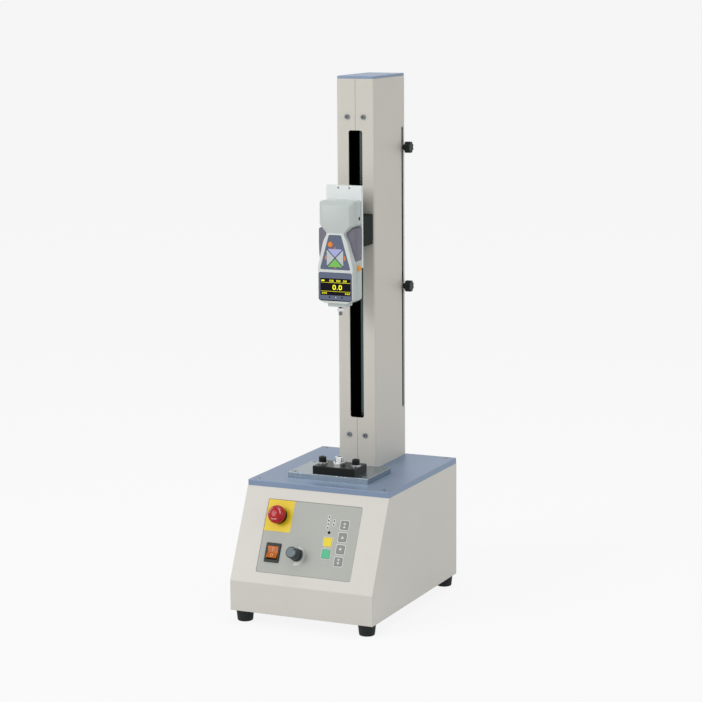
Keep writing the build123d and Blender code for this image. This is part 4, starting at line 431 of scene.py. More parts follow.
FRONT_Y = -168.0
BREAK_Z = 65.5
SLOPE_RUN = 65.0
SLOPE_RISE = 137.0
PANEL_RISE = 75.8
slope_angle = atan2(SLOPE_RUN, SLOPE_RISE)
slope_up = Vector((0, sin(slope_angle), cos(slope_angle)))
slope_plane = plane(
    (Vector((0, FRONT_Y, BREAK_Z)) + slope_up * PANEL_RISE) * MM, (1, 0, 0), slope_up
)
PANEL_FACE = -0.4
GAUGE_INLAY_Y = -33.2
gauge_plane = plane((0, GAUGE_INLAY_Y * MM, 0), (1, 0, 0), (0, 0, 1))


def add_piece(name, mesh, body, material, place=None):
    obj = bpy.data.objects.new(name, mesh)
    bpy.context.scene.collection.objects.link(obj)
    if place is not None:
        obj.matrix_world = place
    mesh.materials.append(material)
    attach(obj, body)
    return obj


def finished(work, name):
    mesh = bpy.data.meshes.new(name)
    work.to_mesh(mesh)
    work.free()
    return mesh


def ring_at(work, outline, height):
    """The corners of an outline at a height, both given in millimetres."""
    return [work.verts.new((x * MM, y * MM, height * MM)) for x, y in outline]


def bridge(work, first, second):
    """A closed band of faces between two rings of as many corners."""
    faces = []
    for i in range(len(first)):
        j = (i + 1) % len(first)
        faces.append(work.faces.new((first[i], first[j], second[j], second[i])))
    return faces


def shapes_mesh(name, outlines, low, high, rounding=0.0):
    """Flat shapes as one mesh, each outline in millimetres, from height low to height high."""
    work = bmesh.new()
    for outline in outlines:
        loops = outline if isinstance(outline[0][0], (tuple, list)) else [outline]
        rings = []
        for loop in loops:
            bottom = ring_at(work, loop, low)
            top = ring_at(work, loop, high)
            bridge(work, bottom, top)
            rings.append((bottom, top))
        if len(rings) == 1:
            work.faces.new(rings[0][1])
            work.faces.new(list(reversed(rings[0][0])))
        else:
            bridge(work, rings[0][1], rings[1][1])
            bridge(work, rings[1][0], rings[0][0])
    bmesh.ops.recalc_face_normals(work, faces=work.faces)
    if rounding:
        rim = [e for e in work.edges if all(abs(v.co.z - high * MM) < 1e-9 for v in e.verts)]
        bmesh.ops.bevel(work, geom=rim, offset=rounding * MM, segments=2, affect="EDGES")
    return finished(work, name)


def add_shapes(name, outlines, low, high, body, material, place=None, rounding=0.0):
    mesh = shapes_mesh(name, outlines, low, high, rounding)
    add_piece(name, mesh, body, material, place)


def rounded_box(x, y, width, height, radius, steps=5):
    """Outline of a rectangle with round corners, centred on x, y."""
    points = []
    for corner, (sx, sy) in enumerate(((1, 1), (-1, 1), (-1, -1), (1, -1))):
        cx = x + sx * (width / 2 - radius)
        cy = y + sy * (height / 2 - radius)
        for i in range(steps + 1):
            angle = (corner + i / steps) * pi / 2
            points.append((cx + radius * cos(angle), cy + radius * sin(angle)))
    return points


def rounded_field(left, right, low, high, radius):
    return rounded_box((left + right) / 2, (low + high) / 2, right - left, high - low, radius)


def circle(x, y, radius, steps=32, start=0.0):
    turn = [start + 2 * pi * i / steps for i in range(steps)]
    return [(x + radius * cos(angle), y + radius * sin(angle)) for angle in turn]


def bar(x, y, width, height):
    w, h = width / 2, height / 2
    return [(x - w, y - h), (x + w, y - h), (x + w, y + h), (x - w, y + h)]


# Printing on the control panel
STOP_X, STOP_Y = -56.8, 32.1
CONTROLS_Y = -26.0
KNOB_X = -15.4
ARROW_KEY_X = 54.6
ARROW_KEY_TOP = 27.8
ARROW_KEY_PITCH = 18.93
ARROW_KEY_SIZE = 12.8
COLOUR_KEY_X = 31.7
COLOUR_KEY_Y = -0.6
COLOUR_KEY_PITCH = 18.5
COLOUR_KEY_SIZE = 13.8
LED_X = 27.1
LED_SECOND_X = 36.4
LED_TOP = 38.4
LED_PITCH = 5.65
LED_RING, LED_RING_HOLE = 2.75, 1.5
SWITCH_HOLE_X, SWITCH_HOLE_Y, SWITCH_HOLE_RADIUS = 31.0, 14.2, 1.9
PRINT_SINK, PRINT_RISE = 0.02, 0.05
PRINT_LOW = PANEL_FACE - PRINT_SINK
PRINT_HIGH = PANEL_FACE + PRINT_RISE

YELLOW_LEFT, YELLOW_RIGHT, YELLOW_LOW, YELLOW_HIGH = -79.0, -34.5, 7.5, 57.2
YELLOW_CORNER = 1.2
yellow_ground = rounded_field(YELLOW_LEFT, YELLOW_RIGHT, YELLOW_LOW, YELLOW_HIGH, YELLOW_CORNER)
add_shapes("stop_ground", [yellow_ground], PRINT_LOW, PRINT_HIGH,
           "stand", print_yellow, slope_plane)

led_places = [(LED_X, LED_TOP - row * LED_PITCH) for row in range(4)]
led_places += [(LED_SECOND_X, LED_TOP - row * LED_PITCH) for row in (1, 2)]
arrow_keys = [
    ("key_fast_up", ARROW_KEY_TOP, 1, 2),
    ("key_up", ARROW_KEY_TOP - ARROW_KEY_PITCH, 1, 1),
    ("key_down", ARROW_KEY_TOP - 2 * ARROW_KEY_PITCH, -1, 1),
    ("key_fast_down", ARROW_KEY_TOP - 3 * ARROW_KEY_PITCH, -1, 2),
]


def frame_around(x, y, size, gap, width, radius=1.2):
    """A square band round a key, with round corners."""
    inner = size + 2 * gap
    outer = inner + 2 * width
    return [rounded_box(x, y, outer, outer, radius + width),
            rounded_box(x, y, inner, inner, radius)]


ARROW_FRAME_GAP, ARROW_FRAME_WIDTH = 0.45, 1.2
COLOUR_FRAME_GAP, COLOUR_FRAME_WIDTH = 0.4, 0.9
outlines = [
    frame_around(ARROW_KEY_X, y, ARROW_KEY_SIZE, ARROW_FRAME_GAP, ARROW_FRAME_WIDTH)
    for _, y, _, _ in arrow_keys
]
outlines += [
    frame_around(COLOUR_KEY_X, COLOUR_KEY_Y - row * COLOUR_KEY_PITCH, COLOUR_KEY_SIZE,
                 COLOUR_FRAME_GAP, COLOUR_FRAME_WIDTH)
    for row in (0, 1)
]
outlines += [[circle(x, y, LED_RING), circle(x, y, LED_RING_HOLE)] for x, y in led_places]
add_shapes("key_frames", outlines, PRINT_LOW, PRINT_HIGH,
           "stand", print_white, slope_plane)


def crescent(outer_place, outer, inner_place, inner, start, end, steps=40):
    """A band between two arcs with middles of their own, from start to end, in degrees."""
    turn = [radians(start + (end - start) * i / steps) for i in range(steps + 1)]
    outside = [(outer_place[0] + outer * cos(a), outer_place[1] + outer * sin(a)) for a in turn]
    turn.reverse()
    inside = [(inner_place[0] + inner * cos(a), inner_place[1] + inner * sin(a)) for a in turn]
    return outside + inside


# Speed scale: a crescent that is widest at the right of the knob
DIAL_PLACE, DIAL_RADIUS = (KNOB_X - 2.4, CONTROLS_Y - 1.0), 15.3
DIAL_HOLE_RADIUS = 8.6
DIAL_START, DIAL_END = 82, -98
dial = crescent(DIAL_PLACE, DIAL_RADIUS, (KNOB_X, CONTROLS_Y), DIAL_HOLE_RADIUS,
                DIAL_START, DIAL_END)
add_shapes("speed_dial", [dial], PRINT_LOW, PRINT_HIGH,
           "stand", print_grey, slope_plane)

# Dark rim of the recessed switch's hole: painted shade at the hole's edge
hole_rim = [
    circle(SWITCH_HOLE_X, SWITCH_HOLE_Y, SWITCH_HOLE_RADIUS + 0.4),
    circle(SWITCH_HOLE_X, SWITCH_HOLE_Y, SWITCH_HOLE_RADIUS),
]
add_shapes("switch_hole_rim", [hole_rim], PRINT_LOW, PRINT_HIGH,
           "stand", hole_shade_and_black, slope_plane)

# Dark band in the gap between the panel and the housing's window: painted shade of the gap
PANEL_WIDTH, PANEL_HEIGHT, PANEL_CORNER, PANEL_GAP = 158.6, 115.0, 2.7, 0.3
PANEL_BACK = -1.5
panel_joint = [
    rounded_box(0, 0, PANEL_WIDTH + 2 * PANEL_GAP, PANEL_HEIGHT + 2 * PANEL_GAP,
                PANEL_CORNER + PANEL_GAP),
    rounded_box(0, 0, PANEL_WIDTH, PANEL_HEIGHT, PANEL_CORNER),
]
add_shapes("panel_joint", [panel_joint], PANEL_BACK, PANEL_FACE + PRINT_SINK,
           "stand", hole_shade_and_black, slope_plane)

# Dark bottom of the recessed switch's hole: painted shade in the hole
hole_bottom = circle(SWITCH_HOLE_X, SWITCH_HOLE_Y, SWITCH_HOLE_RADIUS - 0.05)
add_shapes("switch_hole_liner", [hole_bottom], PANEL_BACK - 0.1, -1.2,
           "stand", hole_shade_and_black, slope_plane)


# Indicator lamp lenses: low domes on the lamps
def dome_mesh(name, places, radius, base, height, rings=5, steps=20):
    work = bmesh.new()
    for x, y in places:
        last = None
        for ring in range(rings):
            angle = pi / 2 * ring / rings
            r = radius * cos(angle)
            z = base + height * sin(angle)
            loop = ring_at(work, circle(x, y, r, steps), z)
            if last:
                bridge(work, last, loop)
            else:
                work.faces.new(list(reversed(loop)))
            last = loop
        top = work.verts.new((x * MM, y * MM, (base + height) * MM))
        for i in range(steps):
            work.faces.new((last[i], last[(i + 1) % steps], top))
    for face in work.faces:
        face.smooth = True
    return finished(work, name)


LENS_RADIUS, LENS_LOW, LENS_HEIGHT = 1.1, PANEL_FACE - 0.25, 0.55
lenses = dome_mesh("panel_lamps", led_places, LENS_RADIUS, LENS_LOW, LENS_HEIGHT)
add_piece("panel_lamps", lenses, "stand", lamp_off, slope_plane)


# White arrows on the grey keys
KEY_TOP = PANEL_FACE + 0.5
SINGLE_ARROW_SIZE, DOUBLE_ARROW_SIZE, DOUBLE_ARROW_STEP = 2.7, 2.3, 2.5


def arrow(x, y, way, size):
    return [(x - size, y - way * size * 0.75), (x + size, y - way * size * 0.75),
            (x, y + way * size * 0.85)]


for key, y, way, count in arrow_keys:
    size = SINGLE_ARROW_SIZE if count == 1 else DOUBLE_ARROW_SIZE
    steps = (0,) if count == 1 else (-DOUBLE_ARROW_STEP, DOUBLE_ARROW_STEP)
    marks = [arrow(ARROW_KEY_X, y + step, way, size) for step in steps]
    add_shapes(key + "_arrow", marks, KEY_TOP - PRINT_SINK, KEY_TOP + PRINT_RISE,
               key, print_white, slope_plane)


# Marks on the rocker: a bar and a ring
ROCKER_TILT = radians(7.0)
ROCKER_PIVOT = -3.4
ROCKER_HALF = 9.4
ROCKER_RISE = 3.6
ROCKER_VALLEY = 1.2
ROCKER_DEPTH = 3.0
ROCKER_MARK_RISE = 0.06
pivot = slope_plane @ Vector((STOP_X * MM, CONTROLS_Y * MM, ROCKER_PIVOT * MM))
normal = slope_plane.to_3x3() @ Vector((0, 0, 1))
rocker_up = (slope_up * cos(ROCKER_TILT) - normal * sin(ROCKER_TILT)).normalized()
rocker_plane = plane(pivot, (1, 0, 0), rocker_up)
half_tilt = atan2(ROCKER_RISE - ROCKER_VALLEY, ROCKER_HALF)
for word, side, mark in (
    ("on", 1, [bar(0, 0, 1.0, 5.0)]),
    ("off", -1, [[circle(0, 0, 2.6), circle(0, 0, 1.8)]]),
):
    height = ROCKER_DEPTH + (ROCKER_RISE + ROCKER_VALLEY) / 2
    middle = Vector((0, side * ROCKER_HALF / 2, height)) * MM
    lean = Matrix.Rotation(side * half_tilt, 4, "X")
    add_shapes("rocker_mark_" + word, mark, -PRINT_SINK, ROCKER_MARK_RISE,
               "power_rocker", print_amber,
               rocker_plane @ Matrix.Translation(middle) @ lean)


# Paler cap of the speed knob, with a dark pointer at its edge
KNOB_LIFT, KNOB_HEIGHT = 1.6, 22.0
KNOB_TOP = PANEL_FACE + KNOB_LIFT + KNOB_HEIGHT
KNOB_CAP_RADIUS = 7.4
KNOB_POINTER = radians(45)
POINTER_PLACE, POINTER_LENGTH, POINTER_WIDTH = 6.2, 2.6, 1.8
pointer = Matrix.Translation(Vector((KNOB_X, CONTROLS_Y, KNOB_TOP)) * MM)
pointer = pointer @ Matrix.Rotation(KNOB_POINTER, 4, "Z")
cap = circle(0, 0, KNOB_CAP_RADIUS, 48)
add_shapes("knob_cap", [cap], -PRINT_SINK, PRINT_RISE,
           "speed_knob", knob_cap, slope_plane @ pointer)
pointer_bar = bar(POINTER_PLACE, 0, POINTER_LENGTH, POINTER_WIDTH)
add_shapes("knob_pointer", [pointer_bar], 0.03, 0.09,
           "speed_knob", plastic_black, slope_plane @ pointer)


# Twist arrows on the emergency stop's dome, laid on its surface
STOP_ARROW_INNER, STOP_ARROW_OUTER = 8.0, 10.4
STOP_ARROW_SWEEP = radians(62)
STOP_ARROW_COUNT = 3


def draped_arrows(name, node, place, x, y, inner, outer, sweep, count, lift=0.06, steps=14):
    """Bent arrows on a dome: strips of faces whose corners are dropped on the node's mesh."""
    solid = nodes[node]
    to_local = solid.matrix_world.inverted() @ place
    down = (to_local.to_3x3() @ Vector((0, 0, -1))).normalized()
    work = bmesh.new()

    def drop(radius, angle):
        above = to_local @ (Vector((x + radius * cos(angle), y + radius * sin(angle), 60)) * MM)
        spot = solid.ray_cast(above, down)[1]
        on_dome = place.inverted() @ solid.matrix_world @ (spot - down * lift * MM)
        return work.verts.new(on_dome)

    middle = (inner + outer) / 2
    half = (outer - inner) / 4
    head = (outer - inner) * 1.1
    for turn in range(count):
        start = 2 * pi * turn / count
        last = None
        for step in range(steps + 1):
            angle = start + sweep * step / steps
            pair = (drop(middle - half, angle), drop(middle + half, angle))
            if last:
                work.faces.new((last[0], last[1], pair[1], pair[0])).smooth = True
            last = pair
        tip_angle = start + sweep + head / middle
        wings = (drop(middle - head, start + sweep), drop(middle + head, start + sweep))
        work.faces.new((wings[0], wings[1], drop(middle, tip_angle))).smooth = True
    bmesh.ops.recalc_face_normals(work, faces=work.faces)
    return finished(work, name)


add_piece("stop_arrows",
          draped_arrows("stop_arrows", "e_stop_head", slope_plane, STOP_X, STOP_Y,
                        STOP_ARROW_INNER, STOP_ARROW_OUTER, STOP_ARROW_SWEEP, STOP_ARROW_COUNT),
          "e_stop_head", print_rose, slope_plane)


# Gauge case: a block with a waist and a flared foot, and a raised shield round its panels.
# Its outlines are front views in millimetres.
CASE_TOP, CASE_LOW = 642.5, 484.0
SHOULDER_Z, WAIST_HIGH, WAIST_LOW, KNEE_Z = 605.0, 594.0, 590.0, 580.5
CASE_FACE_Y, SHIELD_FACE_Y, CASE_REAR_Y = -32.2, -33.5, 0.5
CASE_BEVEL_Y = -26.0


def rounded_polygon(corners, steps=6):
    """Points round a polygon whose corners are (x, z, radius)."""
    points = []
    for i, (x, z, radius) in enumerate(corners):
        here = Vector((x, z))
        back = (Vector(corners[i - 1][:2]) - here).normalized()
        ahead = (Vector(corners[(i + 1) % len(corners)][:2]) - here).normalized()
        half = back.angle(ahead) / 2
        middle = here + (back + ahead).normalized() * (radius / sin(half))
        spoke = here + back * (radius / tan(half)) - middle
        side = 1 if back.cross(ahead) < 0 else -1
        for step in range(steps + 1):
            turn = Matrix.Rotation(side * (pi - 2 * half) * step / steps, 2)
            points.append(middle + turn @ spoke)
    return points


def mirrored_outline(right_side):
    """A closed outline from the corners of its right half, from the top down."""
    left_side = [(-x, z, radius) for x, z, radius in reversed(right_side)]
    return rounded_polygon(right_side + left_side)


def inset(points, amount):
    """The outline moved inwards. It runs clockwise, seen from the front."""
    moved = []
    for i, point in enumerate(points):
        along = (points[(i + 1) % len(points)] - points[i - 1]).normalized()
        moved.append(point + Vector((along.y, -along.x)) * amount)
    return moved


def between(first, second, share):
    """An outline part of the way from one outline to another with as many points."""
    return [a.lerp(b, share) for a, b in zip(first, second)]


body_outline = mirrored_outline([
    (29.0, CASE_TOP, 4.0), (29.0, SHOULDER_Z, 5.0), (16.5, WAIST_HIGH, 4.0), (16.5, WAIST_LOW, 4.0),
    (21.3, KNEE_Z, 20.0), (30.0, 552.0, 20.0), (30.0, 489.5, 5.5), (20.0, CASE_LOW, 14.0),
])
face_outline = mirrored_outline([
    (23.5, 635.5, 3.0), (23.5, SHOULDER_Z, 5.0), (15.0, WAIST_HIGH, 4.0), (15.0, WAIST_LOW, 4.0),
    (19.8, KNEE_Z, 20.0), (29.0, 541.0, 20.0), (29.0, 490.5, 5.0), (19.5, 485.0, 14.0),
])
shield_outline = mirrored_outline([
    (13.4, 593.6, 5.0), (20.4, KNEE_Z, 16.0), (29.4, 541.0, 20.0), (29.4, 490.5, 5.0),
    (19.5, 484.6, 14.0),
])


def skin(work, rings):
    """Faces between outlines at their depths, each ring given as (points, y)."""
    loops = [[work.verts.new((p.x * MM, y * MM, p.y * MM)) for p in points] for points, y in rings]
    for first, second in zip(loops, loops[1:]):
        bridge(work, first, second)
    return loops


def smooth_mesh(name, work, sharp=35):
    """The mesh with smooth faces, apart from edges that turn by more than sharp degrees."""
    bmesh.ops.recalc_face_normals(work, faces=work.faces)
    for face in work.faces:
        face.smooth = True
    mesh = finished(work, name)
    mesh.set_sharp_from_angle(angle=radians(sharp))
    return mesh


def edge_between(first, second):
    return [e for e in first.link_edges if e.other_vert(first) == second][0]


# Each groove as (y, half width)
GROOVE_DEPTH, GROOVE_FLANK = 0.6, 0.3
GROOVES = ((-20.4, 0.5), (-14.0, 0.35))


def gauge_body_mesh():
    """Rings from the bevelled face to the rear, with the two grooves round the case."""
    work = bmesh.new()
    rings = [
        (between(face_outline, body_outline, 0.03), CASE_FACE_Y),
        (between(face_outline, body_outline, 0.12), CASE_FACE_Y + 0.35),
        (between(face_outline, body_outline, 0.86), CASE_BEVEL_Y - 1.0),
        (between(face_outline, body_outline, 0.97), CASE_BEVEL_Y - 0.3),
        (body_outline, CASE_BEVEL_Y + 0.6),
    ]
    for groove_y, half in GROOVES:
        rings += [
            (body_outline, groove_y - half - GROOVE_FLANK),
            (inset(body_outline, GROOVE_DEPTH), groove_y - half),
            (inset(body_outline, GROOVE_DEPTH), groove_y + half),
            (body_outline, groove_y + half + GROOVE_FLANK),
        ]
    rings += [(body_outline, CASE_REAR_Y - 0.9), (inset(body_outline, 0.8), CASE_REAR_Y - 0.05)]
    loops = skin(work, rings)
    work.faces.new(loops[0])
    work.faces.new(list(reversed(loops[-1])))
    return smooth_mesh("gauge_body", work)


def gauge_shield_mesh():
    """A raised band with a window for the keypad and one for the display."""
    keypad = mirrored_outline([(10.2, 590.8, 2.0), (25.8, 537.2, 2.0)])
    display = mirrored_outline([(28.1, 532.7, 3.0), (28.1, 488.7, 3.0)])
    work = bmesh.new()
    loops = skin(work, [
        (shield_outline, CASE_FACE_Y + 1.5),
        (shield_outline, SHIELD_FACE_Y + 0.8),
        (inset(shield_outline, 0.25), SHIELD_FACE_Y + 0.25),
        (inset(shield_outline, 0.8), SHIELD_FACE_Y),
    ])
    rims = [loops[-1]]
    for hole in (keypad, display):
        hole_loops = skin(work, [
            (hole, CASE_FACE_Y - 0.05),
            (inset(hole, -0.05), SHIELD_FACE_Y + 0.2),
            (inset(hole, -0.3), SHIELD_FACE_Y),
        ])
        rims.append(hole_loops[-1])
    edges = []
    for rim in rims:
        edges += [edge_between(here, ahead) for here, ahead in zip(rim, rim[1:] + rim[:1])]
    bmesh.ops.triangle_fill(work, use_beauty=True, edges=edges)
    return smooth_mesh("gauge_shield", work)


def gauge_grips_mesh():
    """A pad at each side of the waist, tapering to a point above the side button."""
    work = bmesh.new()
    grip = [(9.0, 600.6, 0.5), (31.2, 600.6, 2.2), (31.4, 580.0, 30.0), (31.0, 562.0, 30.0),
            (29.7, 546.5, 0.4), (20.0, 565.0, 4.0)]
    for side in (1, -1):
        outline = rounded_polygon([(side * x, z, radius) for x, z, radius in grip])
        if side < 0:
            outline.reverse()
        loops = skin(work, [
            (inset(outline, 1.2), -25.6), (inset(outline, 0.35), -25.2), (outline, -24.2),
            (outline, -1.2), (inset(outline, 0.9), 0.3),
        ])
        work.faces.new(loops[0])
        work.faces.new(list(reversed(loops[-1])))
    return smooth_mesh("gauge_grip_pads", work)


gauge_body = add_piece("gauge_body", gauge_body_mesh(), "carriage", case_plastic)
# The raised shield in the lighter case plastic: painted highlight.
add_piece("gauge_shield", gauge_shield_mesh(), "carriage", case_plastic_highlit)
gauge_pads = add_piece("gauge_grip_pads", gauge_grips_mesh(), "carriage", grip_plastic)
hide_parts("gauge_front_case", "gauge_rear_case")
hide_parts("gauge_grips")

# Boss under the case, round the shaft, and a small port in the case's right side, a dark disc:
# painted shade of its opening
SHAFT_Y = -15.0
BOSS_LOW, BOSS_HIGH, BOSS_HOLE_RADIUS = 479.0, 485.0, 3.8
boss = [rounded_box(0.0, -16.0, 31.0, 26.0, 2.0), circle(0.0, SHAFT_Y, BOSS_HOLE_RADIUS, 24)]
add_shapes("gauge_boss", [boss], BOSS_LOW, BOSS_HIGH,
           "carriage", case_plastic, rounding=0.5)
PORT_PLACE, PORT_RADIUS = (29.02, -6.0, 614.5), 2.9
port_plane = plane(Vector(PORT_PLACE) * MM, (0, 1, 0), (0, 0, 1))
add_shapes("gauge_port", [circle(0, 0, PORT_RADIUS)], -0.2, 0.02,
           "carriage", hole_shade_and_black, port_plane)


# Dark block that carries the gauge's plate in front of the slot, made large so that it also stands
# in for the gauge's cast shadow on the column's front: partly painted shadow
ARM_SIZE, ARM_MIDDLE, ARM_EDGE = (57.0, 37.0, 47.0), (1.5, 24.6, 593.5), 0.6


def arm_block_mesh():
    work = bmesh.new()
    bmesh.ops.create_cube(work, size=1.0)
    bmesh.ops.scale(work, vec=Vector(ARM_SIZE) * MM, verts=work.verts)
    bmesh.ops.translate(work, vec=Vector(ARM_MIDDLE) * MM, verts=work.verts)
    bmesh.ops.bevel(work, geom=work.edges, offset=ARM_EDGE * MM, segments=2, affect="EDGES")
    return finished(work, "arm_block")


add_piece("arm_block", arm_block_mesh(), "carriage", arm_black_and_shadow)


# Gauge screen: a dark window with lit lines and plain figures
SCREEN_LEFT, SCREEN_RIGHT = -25.5, 26.0
SCREEN_LOW, SCREEN_HIGH, SCREEN_CORNER = 497.2, 523.4, 0.6
screen = rounded_field(SCREEN_LEFT, SCREEN_RIGHT, SCREEN_LOW, SCREEN_HIGH, SCREEN_CORNER)
add_shapes("gauge_screen", [screen], -0.02, 0.06,
           "carriage", screen_dark, gauge_plane)


def zero(x, y, width, height, stroke):
    """The figure nought, as a rounded ring."""
    inner_width = width - 2 * stroke
    inner_height = height - 2 * stroke
    return [rounded_box(x, y, width, height, width * 0.42),
            rounded_box(x, y, inner_width, inner_height, inner_width * 0.42)]


# Two lines across the screen, the reading between them, a battery and a date row above, and a row
# of figures below
RULE_WIDTH, RULE_STROKE, RULE_LEVELS = 50.0, 0.45, (517.0, 503.4)
READING_Z, READING_PLACES = 509.8, (-1.9, 8.4)
POINT_PLACE, POINT_SIZE, POINT_CORNER = (3.3, 506.8), 1.5, 0.5
BATTERY_Z = 519.9
DATE_Z, DATE_START, DATE_GROUP, DATE_FIGURE, DATE_MARK_X = 519.8, -8.6, 11.6, 3.4, -3.3
FOOT_ROW_Z, FOOT_ROW_STARTS, FOOT_ROW_PITCH = 500.4, (-21.6, 17.6), 3.0
READING_SIZE, DATE_SIZE, FOOT_ROW_SIZE = (5.6, 7.6, 1.5), (2.5, 3.2, 0.65), (2.1, 2.6, 0.55)
lit = [bar(0.6, level, RULE_WIDTH, RULE_STROKE) for level in RULE_LEVELS]
lit += [zero(x, READING_Z, *READING_SIZE) for x in READING_PLACES]
lit += [rounded_box(*POINT_PLACE, POINT_SIZE, POINT_SIZE, POINT_CORNER)]
lit += [bar(-21.2, BATTERY_Z, 5.0, 2.2), bar(-18.4, BATTERY_Z, 0.6, 1.1)]
for group in range(3):
    for figure in range(2):
        place = DATE_START + group * DATE_GROUP + figure * DATE_FIGURE
        lit.append(zero(place, DATE_Z, *DATE_SIZE))
lit += [bar(DATE_MARK_X + group * DATE_GROUP, DATE_Z, 0.5, 3.0) for group in range(2)]
for start in FOOT_ROW_STARTS:
    for figure in range(3):
        lit.append(zero(start + figure * FOOT_ROW_PITCH, FOOT_ROW_Z, *FOOT_ROW_SIZE))
add_shapes("gauge_readout", lit, 0.05, 0.09,
           "carriage", screen_lit, gauge_plane)

# Lamps under the screen
LAMPS_Z, LIT_LAMP_X, DARK_LAMPS_X = 494.2, 0.5, (-10.0, 11.0)
LIT_LAMP_RADIUS, DARK_LAMP_RADIUS, LAMP_LOW, LAMP_HEIGHT = 0.9, 1.35, -0.05, 0.3
lit_lamp = dome_mesh("gauge_lamp_lit", [(LIT_LAMP_X, LAMPS_Z)], LIT_LAMP_RADIUS,
                     LAMP_LOW, LAMP_HEIGHT)
dark_lamps = dome_mesh("gauge_lamps_dark", [(x, LAMPS_Z) for x in DARK_LAMPS_X],
                       DARK_LAMP_RADIUS, LAMP_LOW, LAMP_HEIGHT)
add_piece("gauge_lamp_lit", lit_lamp, "carriage", lamp_lit, gauge_plane)
add_piece("gauge_lamps_dark", dark_lamps, "carriage", hole_shade_and_black, gauge_plane)

# Orange marks round the gauge's keys
KEYS_Z = 555.3
MARK_START = 14.7
MARK_WIDTH, MARK_HEIGHT, MARK_CORNER = 2.3, 6.8, 1.1
marks = [
    [(-2.6, KEYS_Z + MARK_START), (2.6, KEYS_Z + MARK_START), (0.0, KEYS_Z + 16.8)],
    [(2.2, KEYS_Z - MARK_START), (-2.2, KEYS_Z - MARK_START), (0.0, KEYS_Z - 16.4)],
]
marks += [rounded_box(x, KEYS_Z, MARK_WIDTH, MARK_HEIGHT, MARK_CORNER) for x in (-16.0, 16.2)]
add_shapes("gauge_marks", marks, -0.02, 0.05,
           "carriage", orange, gauge_plane)


# Orange middle of the gauge's side button
BUTTON_PLACE = (34.5, -13.0, 538.5)
button_plane = plane(Vector(BUTTON_PLACE) * MM, (0, 1, 0), (0, 0, 1))
add_piece("side_button_middle", dome_mesh("side_button_middle", [(0, 0)], 1.9, -0.05, 0.25),
          "gauge_side_button", orange, button_plane)


# Strip behind the covers' seam, below and above the slot, in a darker copy of the cover paint:
# painted shade in the seam
COLUMN_FRONT_Y, COLUMN_REAR_Y = 45.0, 165.0
COLUMN_LOW, SLOT_LOW, SLOT_HIGH, COLUMN_HIGH = 211.5, 291.5, 746.0, 826.0
SEAM_DEPTH, SEAM_WIDTH, SEAM_GAP, SEAM_THICKNESS = 0.35, 0.6, 0.1, 0.6
seam_plane = plane((0, (COLUMN_FRONT_Y + SEAM_DEPTH) * MM, 0), (1, 0, 0), (0, 0, 1))
seam_strips = [
    bar(0, (low + high) / 2, SEAM_WIDTH, high - low - 2 * SEAM_GAP)
    for low, high in ((COLUMN_LOW, SLOT_LOW), (SLOT_HIGH, COLUMN_HIGH))
]
add_shapes("cover_seam", seam_strips, -SEAM_THICKNESS, 0.0,
           "stand", paint_seam_shade, seam_plane)

# Dark discs in the sockets of the plate's, the table's and the fixture's screws: painted shade in
# the sockets
PLATE_SCREWS_TOP = 211.1
TABLE_SCREWS_TOP = 220.1
FIXTURE_SCREWS_TOP = 244.7
FIXTURE_Y = -45.0
FIXTURE_SCREWS_X = (-18.7, 38.3)
SMALL_SOCKET, LARGE_SOCKET = 1.98, 2.96
SOCKET_LOW, SOCKET_HIGH = -0.9, -0.6
plate_screws = [(x, y) for x in (-106.5, 106.5) for y in (-89.4, 158.9)]
table_screws = [(x, y) for x in (-59.3, 59.3) for y in (-58.8, 12.8)]
fixture_screws = [(x, FIXTURE_Y) for x in FIXTURE_SCREWS_X]
for word, places, level, radius in (
    ("plate", plate_screws, PLATE_SCREWS_TOP, SMALL_SOCKET),
    ("table", table_screws, TABLE_SCREWS_TOP, SMALL_SOCKET),
    ("fixture", fixture_screws, FIXTURE_SCREWS_TOP, LARGE_SOCKET),
):
    sockets = [circle(x, y, radius) for x, y in places]
    add_shapes("sockets_" + word, sockets, level + SOCKET_LOW, level + SOCKET_HIGH,
               "stand", hole_shade_and_black)

# Bright flat and spring washers under the fixture's screws
WASHER_LOW, WASHER_TOP, SPRING_TOP = 233.5, 235.1, 236.3
WASHER_RADIUS, WASHER_HOLE = 7.79, 6.34
SPRING_RADIUS, SPRING_HOLE = 6.36, 6.05


def rings_round_screws(outer, inner):
    return [[circle(x, y, outer, 48), circle(x, y, inner, 48)] for x, y in fixture_screws]


washers = rings_round_screws(WASHER_RADIUS, WASHER_HOLE)
springs = rings_round_screws(SPRING_RADIUS, SPRING_HOLE)
add_shapes("fixture_washers", washers, WASHER_LOW, WASHER_TOP + 0.03,
           "stand", steel, rounding=0.1)
add_shapes("fixture_springs", springs, WASHER_TOP, SPRING_TOP - 0.02,
           "stand", steel)


# Cross recesses in the covers' screws, as dark crosses: painted shade in the recesses
PAN_HEAD = 2.4
COVER_SCREW_X = 13.7
CROSS_LENGTH, CROSS_WIDTH = 3.6, 0.9
RECESS_LOW, RECESS_HIGH = -0.3, 0.02
front_plane = plane((0, (COLUMN_FRONT_Y - PAN_HEAD) * MM, 0), (1, 0, 0), (0, 0, 1))
rear_plane = plane((0, (COLUMN_REAR_Y + PAN_HEAD) * MM, 0), (-1, 0, 0), (0, 0, 1))
for word, place, levels in (
    ("front", front_plane, (767.0, 263.5)),
    ("rear", rear_plane, (216.5, 821.0)),
):
    crosses = []
    for x in (-COVER_SCREW_X, COVER_SCREW_X):
        for z in levels:
            crosses += [bar(x, z, CROSS_LENGTH, CROSS_WIDTH), bar(x, z, CROSS_WIDTH, CROSS_LENGTH)]
    add_shapes("screw_crosses_" + word, crosses, RECESS_LOW, RECESS_HIGH,
               "stand", hole_shade_and_black, place)


